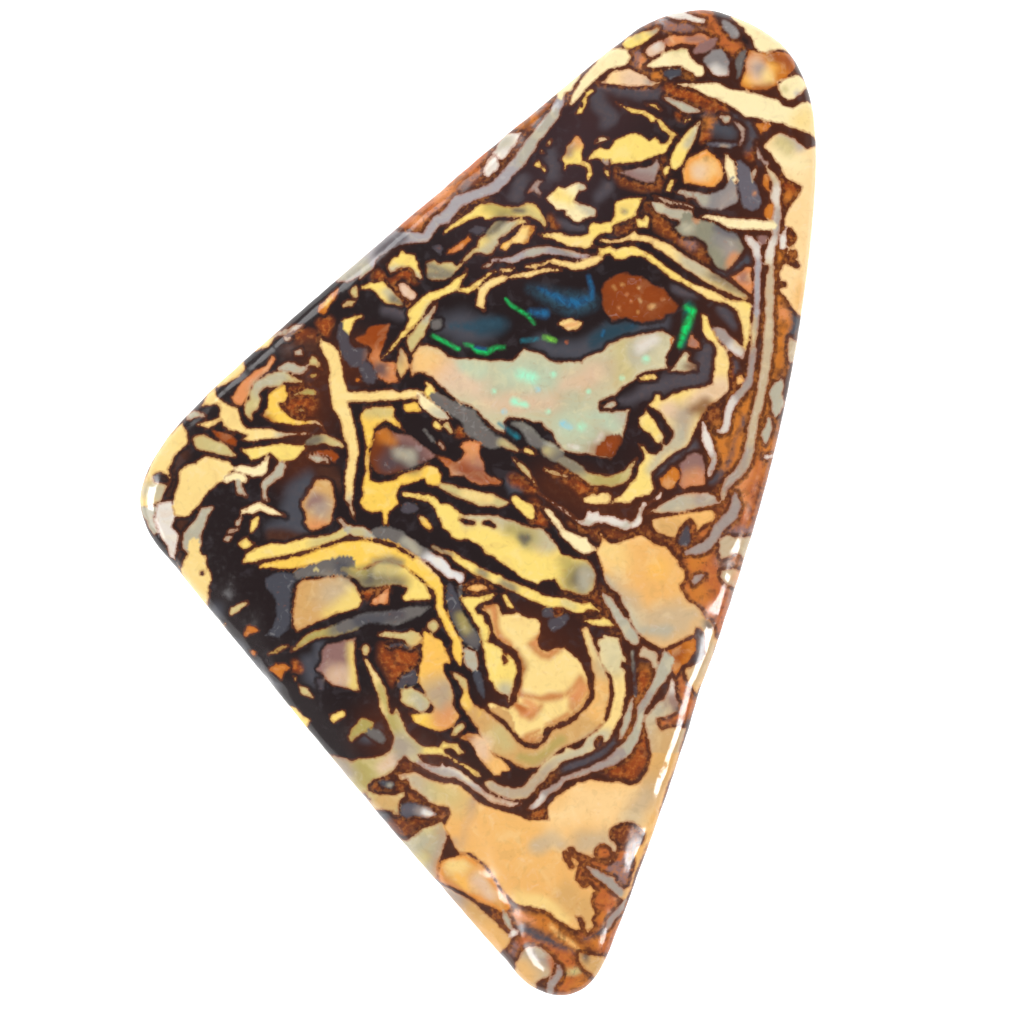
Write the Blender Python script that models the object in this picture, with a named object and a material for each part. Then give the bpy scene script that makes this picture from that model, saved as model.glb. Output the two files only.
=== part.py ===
"""A polished boulder opal: one flat-backed freeform cabochon with a low dome and rolled edges.

Metres, +Z up. The stone lies on its flat back at z = 0, with its face up. X and Y run across the
face as in a plan view, Y along the longer extent, and the origin is the middle of the plan's box.
"""

import math

import bmesh
import bpy
from mathutils import Vector

MM = 0.001

# Driving dimensions, in millimetres
LENGTH_Y = 59.4
WIDTH_X = 40.8
THICKNESS = 5.6
GIRDLE_HEIGHT = 3.2
EDGE_ROLL_WIDTH = 1.25
EDGE_ROLL_DROP = 1.15
CROWN = THICKNESS - GIRDLE_HEIGHT - EDGE_ROLL_DROP
SHOULDER_WIDTH = 6.0
CROWN_FALL = 1.6
BACK_TAPER = 0.45
BACK_EDGE = 0.45
CHIP_CENTRE = (13.3, -11.4)
CHIP_REACH = 1.3
CHIP_DEPTH = 0.14

# Mesh fineness
CELL = 1.6
LONGEST_STRETCH = 1.6
CORNER_SPAN = 3.0
CORNER_STEPS = 3
ROLL_STEPS = 4
SHORTEST_EDGE = 0.4
POLISH_PASSES = 10

# The plan's outline, anticlockwise from its left corner: three round corners and gently bowed sides
OUTLINE = [
    (-20.40, 0.20), (-19.95, -1.50), (-18.10, -4.60), (-14.10, -9.40), (-4.30, -20.85),
    (0.15, -26.20), (1.85, -28.05), (3.30, -29.15), (4.90, -29.70), (6.50, -29.20),
    (7.50, -28.05), (8.25, -26.20), (9.65, -22.60), (12.70, -13.60), (14.95, -6.80),
    (16.35, -2.50), (17.60, 1.90), (18.60, 6.20), (19.55, 11.60), (20.20, 17.00),
    (20.40, 21.20), (20.10, 24.20), (19.30, 26.30), (18.10, 27.80), (16.20, 28.95),
    (13.90, 29.70), (11.80, 29.50), (10.00, 28.80), (8.20, 27.50), (-2.25, 18.80),
    (-10.65, 11.60), (-14.75, 7.95), (-17.40, 5.45), (-19.50, 2.75),
]


def clear_scene():
    for obj in list(bpy.data.objects):
        bpy.data.objects.remove(obj, do_unlink=True)


def spline_point(p0, p1, p2, p3, share):
    """A point between p1 and p2 on the centripetal Catmull-Rom curve through the four points."""
    t0 = 0.0
    t1 = t0 + math.sqrt((p1 - p0).length)
    t2 = t1 + math.sqrt((p2 - p1).length)
    t3 = t2 + math.sqrt((p3 - p2).length)
    t = t1 + (t2 - t1) * share
    a1 = p0.lerp(p1, (t - t0) / (t1 - t0))
    a2 = p1.lerp(p2, (t - t1) / (t2 - t1))
    a3 = p2.lerp(p3, (t - t2) / (t3 - t2))
    b1 = a1.lerp(a2, (t - t0) / (t2 - t0))
    b2 = a2.lerp(a3, (t - t1) / (t3 - t1))
    return b1.lerp(b2, (t - t1) / (t2 - t1))


def plan_outline():
    """The smooth outline as points, closer at its corners, fitted to the driving length and width."""
    corners = [Vector((x, y, 0.0)) for x, y in OUTLINE]
    count = len(corners)
    points = []
    for i in range(count):
        p0, p1, p2, p3 = (corners[(i + k) % count] for k in (-1, 0, 1, 2))
        span = (p2 - p1).length
        steps = CORNER_STEPS if span < CORNER_SPAN else math.ceil(span / LONGEST_STRETCH)
        points += [spline_point(p0, p1, p2, p3, s / steps) for s in range(steps)]
    low_x, high_x = min(p.x for p in points), max(p.x for p in points)
    low_y, high_y = min(p.y for p in points), max(p.y for p in points)
    middle = Vector(((low_x + high_x) / 2, (low_y + high_y) / 2, 0.0))
    fit = Vector((WIDTH_X / (high_x - low_x), LENGTH_Y / (high_y - low_y), 0.0))
    return [(p - middle) * fit for p in points]


def outward(before, after):
    """The unit vector in the plan that points out of the stone, for a stretch running anticlockwise."""
    along = (after - before).normalized()
    return Vector((along.y, -along.x, 0.0))


def inset(points, distance):
    """The closed plan line moved inwards by a distance."""
    count = len(points)
    moved = []
    for i, point in enumerate(points):
        normal = outward(points[i - 1], points[(i + 1) % count])
        moved.append(point - normal * distance)
    return moved


def cut_face_sheet(bm, line):
    """A flat grid cut to the closed plan line, one bisecting plane for each of its stretches."""
    bmesh.ops.create_grid(
        bm, x_segments=round(WIDTH_X / CELL), y_segments=round(LENGTH_Y / CELL), size=0.5
    )
    bmesh.ops.scale(bm, vec=(WIDTH_X + CELL, LENGTH_Y + CELL, 1.0), verts=bm.verts)
    for before, after in zip(line, line[1:] + line[:1]):
        bmesh.ops.bisect_plane(
            bm,
            geom=bm.verts[:] + bm.edges[:] + bm.faces[:],
            plane_co=(before + after) / 2,
            plane_no=outward(before, after),
            clear_outer=True,
        )
    bmesh.ops.remove_doubles(bm, verts=rim_vertices(bm), dist=SHORTEST_EDGE)
    close = bmesh.ops.find_doubles(
        bm, verts=bm.verts, keep_verts=rim_vertices(bm), dist=SHORTEST_EDGE
    )
    bmesh.ops.weld_verts(bm, targetmap=close["targetmap"])


def rim_vertices(bm):
    return [v for v in bm.verts if v.is_boundary]


def distance_to_line(point, line):
    """The shortest distance in the plan from a point to a closed line."""
    nearest = math.inf
    for before, after in zip(line, line[1:] + line[:1]):
        stretch = after - before
        share = max(0.0, min(1.0, (point - before).dot(stretch) / stretch.length_squared))
        nearest = min(nearest, (point - before - stretch * share).length)
    return nearest


def raise_dome(bm, line):
    """Lifts the sheet into a low dome, steeper near its rim, with its ridges polished away."""
    rim_height = GIRDLE_HEIGHT + EDGE_ROLL_DROP
    for vert in bm.verts:
        depth = min(1.0, distance_to_line(vert.co, line) / SHOULDER_WIDTH)
        spread = (vert.co.x / WIDTH_X) ** 2 + (vert.co.y / LENGTH_Y) ** 2
        vert.co.z = (1.0 - (1.0 - depth) ** 2) * (1.0 - CROWN_FALL * spread)
    inner = [v for v in bm.verts if not v.is_boundary]
    for _ in range(POLISH_PASSES):
        bmesh.ops.smooth_vert(bm, verts=inner, factor=0.5, use_axis_z=True)
    top = max(v.co.z for v in bm.verts)
    for vert in bm.verts:
        vert.co.z = rim_height + max(0.0, vert.co.z) * CROWN / top


def rim_directions(bm):
    """For each rim vertex of the flat sheet, the plan direction that points straight out of the stone."""
    directions = {}
    for vert in rim_vertices(bm):
        across = Vector((0.0, 0.0, 0.0))
        for edge in vert.link_edges:
            if edge.is_boundary:
                first, second = (v.co for v in edge.verts)
                normal = outward(first, second)
                away = (first + second) / 2 - edge.link_faces[0].calc_center_median()
                across += normal if normal.dot(away) > 0 else -normal
        directions[vert] = across.normalized()
    return directions


def extrude_rim(bm, directions, offset, height):
    """Extrudes the open rim, moves it outwards and to a height, and returns the new rim's directions."""
    at_place = {tuple(v.co): direction for v, direction in directions.items()}
    edges = [e for e in bm.edges if e.is_boundary]
    made = bmesh.ops.extrude_edge_only(bm, edges=edges)["geom"]
    fresh = [g for g in made if isinstance(g, bmesh.types.BMVert)]
    moved = {v: at_place[tuple(v.co)] for v in fresh}
    for vert, direction in moved.items():
        vert.co += direction * offset
        vert.co.z = height
    return moved


def press_chip(bm):
    """The shallow dent where a flake has come off the right-hand edge."""
    centre = Vector((CHIP_CENTRE[0], CHIP_CENTRE[1], 0.0))
    for vert in bm.verts:
        reach = (vert.co.to_2d() - centre.to_2d()).length / CHIP_REACH
        if reach < 1.0 and vert.co.z > 0.0:
            vert.co.x -= CHIP_DEPTH * (1.0 - reach * reach) ** 2


def stone_mesh():
    outline = plan_outline()
    face_line = inset(outline, EDGE_ROLL_WIDTH)
    bm = bmesh.new()
    cut_face_sheet(bm, face_line)
    rim = rim_directions(bm)
    raise_dome(bm, face_line)
    for vert in rim:
        vert.co.z = GIRDLE_HEIGHT + EDGE_ROLL_DROP
    reached = 0.0
    for step in range(1, ROLL_STEPS + 1):
        angle = math.radians(90.0 * step / ROLL_STEPS)
        offset = EDGE_ROLL_WIDTH * math.sin(angle)
        height = GIRDLE_HEIGHT + EDGE_ROLL_DROP * math.cos(angle)
        rim = extrude_rim(bm, rim, offset - reached, height)
        reached = offset
    rim = extrude_rim(bm, rim, -BACK_TAPER, BACK_EDGE)
    extrude_rim(bm, rim, -BACK_EDGE, 0.0)
    bmesh.ops.contextual_create(bm, geom=[e for e in bm.edges if e.is_boundary])
    press_chip(bm)
    bmesh.ops.recalc_face_normals(bm, faces=bm.faces)
    bmesh.ops.scale(bm, vec=(MM, MM, MM), verts=bm.verts)
    bmesh.ops.triangulate(bm, faces=bm.faces)
    mesh = bpy.data.meshes.new("boulder_opal")
    bm.to_mesh(mesh)
    bm.free()
    mesh.shade_smooth()
    mesh.set_sharp_from_angle(angle=math.radians(40.0))
    return mesh


def stone_material():
    """Polished brown ironstone with opal in it, as one plain colour between the two."""
    material = bpy.data.materials.new("polished_boulder_opal")
    material.use_nodes = True
    shader = material.node_tree.nodes["Principled BSDF"]
    shader.inputs["Base Color"].default_value = (0.27, 0.16, 0.08, 1.0)
    shader.inputs["Roughness"].default_value = 0.18
    shader.inputs["Metallic"].default_value = 0.0
    return material


def main():
    clear_scene()
    mesh = stone_mesh()
    mesh.materials.append(stone_material())
    stone = bpy.data.objects.new("boulder_opal", mesh)
    bpy.context.scene.collection.objects.link(stone)


main()
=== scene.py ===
# %% [markdown]
# A boulder opal is a slice of brown ironstone whose cracks have filled with opal. This one has been
# ground into a flat-backed stone with a low dome and polished until it is as smooth as glass. The
# lesson dresses a plain solid of that shape: a fine surface for it, then a map of the opal bodies
# painted on its points, then one material that turns the map into stone, and soft light.

# %% Load the solid model
import math

import bmesh
import bpy
import numpy as np
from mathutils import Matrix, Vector, noise


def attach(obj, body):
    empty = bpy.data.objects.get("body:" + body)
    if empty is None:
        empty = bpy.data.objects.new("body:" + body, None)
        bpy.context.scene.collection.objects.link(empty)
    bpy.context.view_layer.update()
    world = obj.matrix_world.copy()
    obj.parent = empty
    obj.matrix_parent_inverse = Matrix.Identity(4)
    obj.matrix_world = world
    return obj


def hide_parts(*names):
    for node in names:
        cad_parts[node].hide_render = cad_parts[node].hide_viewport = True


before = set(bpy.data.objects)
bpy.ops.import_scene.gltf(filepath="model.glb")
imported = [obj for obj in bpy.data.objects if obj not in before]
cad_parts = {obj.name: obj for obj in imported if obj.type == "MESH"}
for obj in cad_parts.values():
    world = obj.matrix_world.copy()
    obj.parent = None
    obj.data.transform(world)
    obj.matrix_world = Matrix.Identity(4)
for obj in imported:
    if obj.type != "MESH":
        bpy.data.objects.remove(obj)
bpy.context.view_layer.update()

MM = 0.001
STONE = "boulder_opal"

# %% [markdown]
# The solid has facets a millimetre or two across, which is too coarse to carry a pattern with lines
# a tenth of that. A Subdivision Surface modifier would also shrink the rolled edge. Here a merged
# copy is refined instead: each pass splits only the edges that are still too long, so the fine
# triangles end up alike all over, and the flat back, which needs none, keeps its few large ones.
# Lengths are in millimetres here, and heights are above the flat back.

# %% Which edges to split
EDGE_LENGTHS = (0.96, 0.48, 0.235)
SMOOTH_PASSES = (1, 2, 4)
SMOOTH_SHARE = 0.5
SMOOTH_ABOVE = 0.5
WALL_SHARE = 1.8
GIRDLE_HEIGHT = 3.2
BACK_HEIGHT = 0.02
MERGE_DISTANCE = 0.02
SLIVER = 0.012
SHARP_ANGLE = math.radians(50.0)


def long_edges(bm, limit):
    """The edges longer than a limit; on the wall it is wider, and the flat back has none."""
    found = []
    for edge in bm.edges:
        top = max(vertex.co.z for vertex in edge.verts)
        share = 1.0 if top > GIRDLE_HEIGHT * MM else WALL_SHARE
        if top > BACK_HEIGHT * MM and edge.calc_length() > share * limit * MM:
            found.append(edge)
    return found


def on_dome(points):
    return min(point.co.z for point in points) > GIRDLE_HEIGHT * MM


def even_out(bm):
    """Turns edges on the dome, so that its triangles are less slender."""
    faces = [face for face in bm.faces if on_dome(face.verts)]
    edges = [edge for edge in bm.edges if all(on_dome(face.verts) for face in edge.link_faces)]
    bmesh.ops.beautify_fill(bm, faces=faces, edges=edges, method="ANGLE")


print("edges end up under", EDGE_LENGTHS[-1], "mm")

# %% [markdown]
# A split edge keeps its new point on the old flat facet, so each level of splitting is followed by a
# little smoothing, which rounds the facets off. Slivers are dissolved before the next level.

# %% Refine a copy of the solid
def refined_stone(node):
    """A smooth, finely divided copy of the solid, as a new object."""
    bm = bmesh.new()
    bm.from_mesh(node.data)
    bmesh.ops.remove_doubles(bm, verts=bm.verts, dist=MERGE_DISTANCE * MM)
    for limit, passes in zip(EDGE_LENGTHS, SMOOTH_PASSES):
        for _ in range(2):
            bmesh.ops.subdivide_edges(bm, edges=long_edges(bm, limit), cuts=1)
            bmesh.ops.triangulate(bm, faces=bm.faces, quad_method="SHORT_EDGE")
            if limit > EDGE_LENGTHS[-1]:
                even_out(bm)
        upper = [v for v in bm.verts if v.co.z > SMOOTH_ABOVE * MM]
        for _ in range(passes):
            bmesh.ops.smooth_vert(
                bm, verts=upper, factor=SMOOTH_SHARE, use_axis_x=True, use_axis_y=True, use_axis_z=True
            )
        bmesh.ops.dissolve_degenerate(bm, edges=bm.edges, dist=SLIVER * MM)
        bmesh.ops.triangulate(bm, faces=bm.faces, quad_method="SHORT_EDGE")
    mesh = bpy.data.meshes.new("polished_opal")
    bm.to_mesh(mesh)
    bm.free()
    mesh.shade_smooth()
    mesh.set_sharp_from_angle(angle=SHARP_ANGLE)
    piece = bpy.data.objects.new("polished_opal", mesh)
    bpy.context.scene.collection.objects.link(piece)
    return piece


opal = refined_stone(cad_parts[STONE])
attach(opal, "root")
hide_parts(STONE)
print("refined stone:", len(opal.data.vertices), "points,", len(opal.data.polygons), "faces")

# %% [markdown]
# The colours of such a stone come from a few things only: brown ironstone from nearly black to rust,
# cream and yellow common opal, grey and milky opal, and a little precious opal with green and blue
# fire. Each has a plain name here, with its red, green and blue as a painter would mix them.

# %% The palette
PALETTE = {
    "ironstone": (46, 28, 28), "umber": (75, 42, 30), "sienna": (115, 55, 25), "rust": (152, 68, 20),
    "terracotta": (190, 100, 45), "ember": (205, 120, 40), "amber": (252, 190, 90),
    "gold": (252, 206, 88), "straw": (250, 219, 118), "cream": (250, 217, 139),
    "ivory": (253, 234, 180), "bone": (232, 222, 210), "shell": (254, 214, 152),
    "peach": (244, 187, 109), "coral": (225, 145, 90), "blush": (230, 195, 165), "tan": (214, 166, 102),
    "sand": (200, 178, 145), "khaki": (205, 187, 126), "olive": (177, 160, 90), "ash": (184, 177, 155),
    "milk": (206, 196, 158), "smoke": (110, 104, 100), "haze": (80, 73, 79), "slate": (74, 74, 82),
    "lilac": (163, 148, 140), "lavender": (170, 163, 165), "mauve": (145, 108, 102),
    "white": (250, 245, 240), "black": (36, 25, 26), "plum": (62, 42, 45), "bole": (78, 36, 20),
    "teal": (25, 110, 125), "green": (0, 200, 95), "mint": (150, 215, 180), "sky": (120, 185, 205),
    "cedar": (92, 46, 24), "lime": (120, 205, 60), "pine": (0, 85, 75), "orange": (225, 110, 30),
    "brick": (128, 62, 24), "mist": (186, 188, 158), "moss": (142, 138, 116), "pewter": (140, 134, 132),
    "flint": (104, 98, 106), "apricot": (240, 180, 104), "honey": (238, 150, 55), "steel": (40, 66, 80),
    "ocean": (24, 90, 132), "dew": (188, 204, 174), "petal": (224, 190, 158), "none": (0, 0, 0),
}


def mixed(name):
    """A named colour in linear light, as Blender keeps colours."""
    share = np.array(PALETTE[name]) / 255.0
    return np.where(share < 0.04045, share / 12.92, ((share + 0.055) / 1.055) ** 2.4)


print(len(PALETTE), "colours")

# %% [markdown]
# The pattern could be an image laid over the stone, but it would be a picture and not a model. It is
# drawn here as a maker would draw it, body by body: a body of opal is an outline, a seam is a stroke
# whose width changes along it. All the drawing needs is how deep each point of the surface lies
# inside such a mark, in millimetres, counted negative outside it.

# %% How deep a point lies in a mark
EDGE_REACH = 0.3


def closest(x, y, start, end):
    """For points x, y: how far they are from a straight piece of line, and how far along it."""
    (ax, ay), (bx, by) = start, end
    dx, dy = bx - ax, by - ay
    length = max(dx * dx + dy * dy, 1e-9)
    share = np.clip(((x - ax) * dx + (y - ay) * dy) / length, 0.0, 1.0)
    return np.hypot(x - ax - share * dx, y - ay - share * dy), share


def near(place, line, reach):
    """Which points lie within reach of the box round a line, and where they are."""
    low, high = line[:, :2].min(0) - reach, line[:, :2].max(0) + reach
    at = np.flatnonzero(((place > low) & (place < high)).all(1))
    return at, *place[at].T


def inside_outline(place, line):
    """Which points lie near a closed outline, and how deep inside it, negative outside."""
    at, x, y = near(place, line, EDGE_REACH)
    nearest = np.full(len(at), np.inf)
    inside = np.zeros(len(at), bool)
    for start, end in zip(line[:, :2], np.roll(line[:, :2], -1, axis=0)):
        nearest = np.minimum(nearest, closest(x, y, start, end)[0])
        (ax, ay), (bx, by) = start, end
        if by != ay:
            inside ^= ((ay > y) != (by > y)) & (x < (bx - ax) * (y - ay) / (by - ay) + ax)
    return at, np.where(inside, nearest, -nearest)


def inside_stroke(place, line, reach=EDGE_REACH):
    """Which points lie near a stroke of points and half widths, and how deep inside it."""
    at, x, y = near(place, line, reach + line[:, 2].max())
    depth = np.full(len(at), -np.inf)
    for start, end in zip(line, line[1:] if len(line) > 1 else line):
        away, share = closest(x, y, start[:2], end[:2])
        depth = np.maximum(depth, start[2] + share * (end[2] - start[2]) - away)
    return at, depth


def soft_share(line, depth):
    """From 0 outside a stroke to 1 inside it; the wider the stroke, the softer its edge."""
    width = line[:, 2].mean()
    share = np.clip(0.5 + 0.5 * depth / (0.1 + 0.5 * width + 0.35 * width * width), 0.0, 1.0)
    return share * share * (3.0 - 2.0 * share)


print("marks reach", EDGE_REACH, "mm past their edge")

# %% [markdown]
# The drawing itself keeps that depth for the nearest body of opal, so its edge can be found far more
# finely than the points lie, and the colours of opal, rock and fire. Below the girdle it wanders
# sideways, as seams do inside a stone, and soft tints wander everywhere, so they don't look sprayed.
# Blender starts its vector noise from the clock, so a seed is set to get the same stone each time.

# %% A surface to draw on
NO_OPAL = -9.0
TINT_REACH = 1.5
FIRE_REACH = 1.0
TINT_WANDER_SIZE = 1.1
TINT_WANDER_REACH = 0.22
WALL_TOP = 4.2
WALL_WANDER_SIZE = 3.0
WALL_WANDER_REACH = 0.55
NOISE_SEED = 5


def wander(points, size, reach):
    """A smooth sideways drift for each point, the same on every run."""
    return reach * np.array([noise.noise_vector(point / (size * MM)) for point in points])[:, :2]


class Drawing:
    """The pattern of opal and ironstone at the points of a mesh, in millimetres."""

    def __init__(self, mesh):
        points = [vertex.co for vertex in mesh.vertices]
        place = np.array(points) / MM
        below = np.clip(WALL_TOP - place[:, 2], 0.0, None)[:, None]
        self.edge_place = place[:, :2] + wander(points, WALL_WANDER_SIZE, WALL_WANDER_REACH) * below
        self.tint_place = self.edge_place + wander(points, TINT_WANDER_SIZE, TINT_WANDER_REACH)
        count = len(points)
        self.depth = np.full(count, NO_OPAL)
        self.opal = np.tile(mixed("straw"), (count, 1))
        self.rock = np.tile(mixed("black"), (count, 1))
        self.rim = self.rock.copy()
        self.fire_colour = np.zeros((count, 3))
        self.fire = np.zeros(count)
        self.marks = 0

    def lay(self, at, depth, name):
        """Adds a body of opal: inside it the newest colour wins, round it the nearest."""
        on = (depth > 0.0) | ((depth > -EDGE_REACH) & (depth >= self.depth[at]))
        self.opal[at[on]] = mixed(name)
        self.depth[at] = np.maximum(self.depth[at], depth)

    def cut(self, at, depth, name):
        """Takes opal away again, down to ironstone of a colour."""
        self.rock[at[depth > -EDGE_REACH / 2]] = mixed(name)
        self.depth[at] = np.minimum(self.depth[at], -depth)

    def tint(self, colours, line, name, strength):
        """Mixes a colour softly into some colours along a stroke."""
        at, depth = inside_stroke(self.tint_place, line, TINT_REACH)
        share = soft_share(line, depth)[:, None] * strength
        colours[at] = colours[at] * (1.0 - share) + mixed(name) * share

    def glow(self, line, name):
        """Adds precious opal along a stroke: its colour, and how much of it there is."""
        at, depth = inside_stroke(self.edge_place, line, FIRE_REACH)
        share = soft_share(line, depth)
        weight = (share / np.maximum(np.maximum(share, self.fire[at]), 1e-6))[:, None]
        self.fire_colour[at] = self.fire_colour[at] * (1.0 - weight) + mixed(name) * weight
        self.fire[at] = np.maximum(self.fire[at], share)


noise.seed_set(NOISE_SEED)
drawing = Drawing(opal.data)
print("drawing on", len(drawing.depth), "points")

# %% [markdown]
# The drawing is written as text, like the paths of a vector drawing. Each mark is a word, a colour
# and its points: where it starts, from the stone's middle, and then the step to each next point, x
# to the right and y up, in tenths of a millimetre. A body is a closed outline. The others are
# strokes, whose third number is the half width from there on, in hundredths. A seam is opal, a vein
# cuts opal away again, shade and stain are soft tints of the opal and of the rock, and a flash is
# precious opal. A slash starts one more mark of the same kind, and an indented line goes on with
# the one above.

# %% The drawing's words
POINT_UNIT = 0.1
WIDTH_UNIT = 0.01
SHADE_STRENGTH = 0.8


def line_of(path):
    """The points of one mark, in millimetres, each with its half width."""
    points = []
    x = y = half = 0
    for step in path.split():
        dx, dy, *width = (int(number) for number in step.split(","))
        x, y = x + dx, y + dy
        half = width[0] if width else half
        points.append((x * POINT_UNIT, y * POINT_UNIT, half * WIDTH_UNIT))
    return np.array(points)


def draw_mark(word, name, line):
    """Draws one mark by its word."""
    if word == "body":
        drawing.lay(*inside_outline(drawing.edge_place, line), name)
    elif word == "seam":
        drawing.lay(*inside_stroke(drawing.edge_place, line), name)
    elif word == "vein":
        drawing.cut(*inside_stroke(drawing.edge_place, line), name)
    elif word == "shade":
        drawing.tint(drawing.opal, line, name, SHADE_STRENGTH)
    elif word == "stain":
        drawing.tint(drawing.rock, line, name, 1.0)
    elif word == "flash":
        drawing.glow(line, name)
    else:
        raise ValueError(f"the drawing has no word {word}")
    drawing.marks += 1


def draw(text):
    """Draws every mark of a text, in order."""
    for row in text.strip().replace("\n  ", " ").splitlines():
        word, name, paths = row.split(maxsplit=2)
        for path in paths.split("/"):
            draw_mark(word, name, line_of(path))


print("words: body, seam, vein, shade, stain, flash")

# %% [markdown]
# The host rock is not one brown. It is nearly black in the west and the middle, purple-brown in
# the north and rusty along the east side and towards the south tip. The first stains set that, and
# the colours they leave are kept for the dark skin that the rock has along every seam.

# %% The ironstone itself
draw("""
stain plum 15,165,180 30,30,320 25,40,300
stain bole 80,270,150 35,13,280 40,-8,300 30,-25,320 0,-50,340 -10,-80 -15,-70,350 -25,-70 -25,-60 -20,-60 /
  45,10,120 35,-15,150 20,-5 / 30,-80,200 20,-25 -30,-10,120
stain cedar -10,-190,200 50,-30,400 10,-50
stain bole -55,-135,150 25,-25 / -105,20,120 10,55,150 20,10 / -70,150,100 50,35 40,35
""")
drawing.rim[:] = drawing.rock
print("the ironstone itself:", drawing.marks, "marks")
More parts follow.
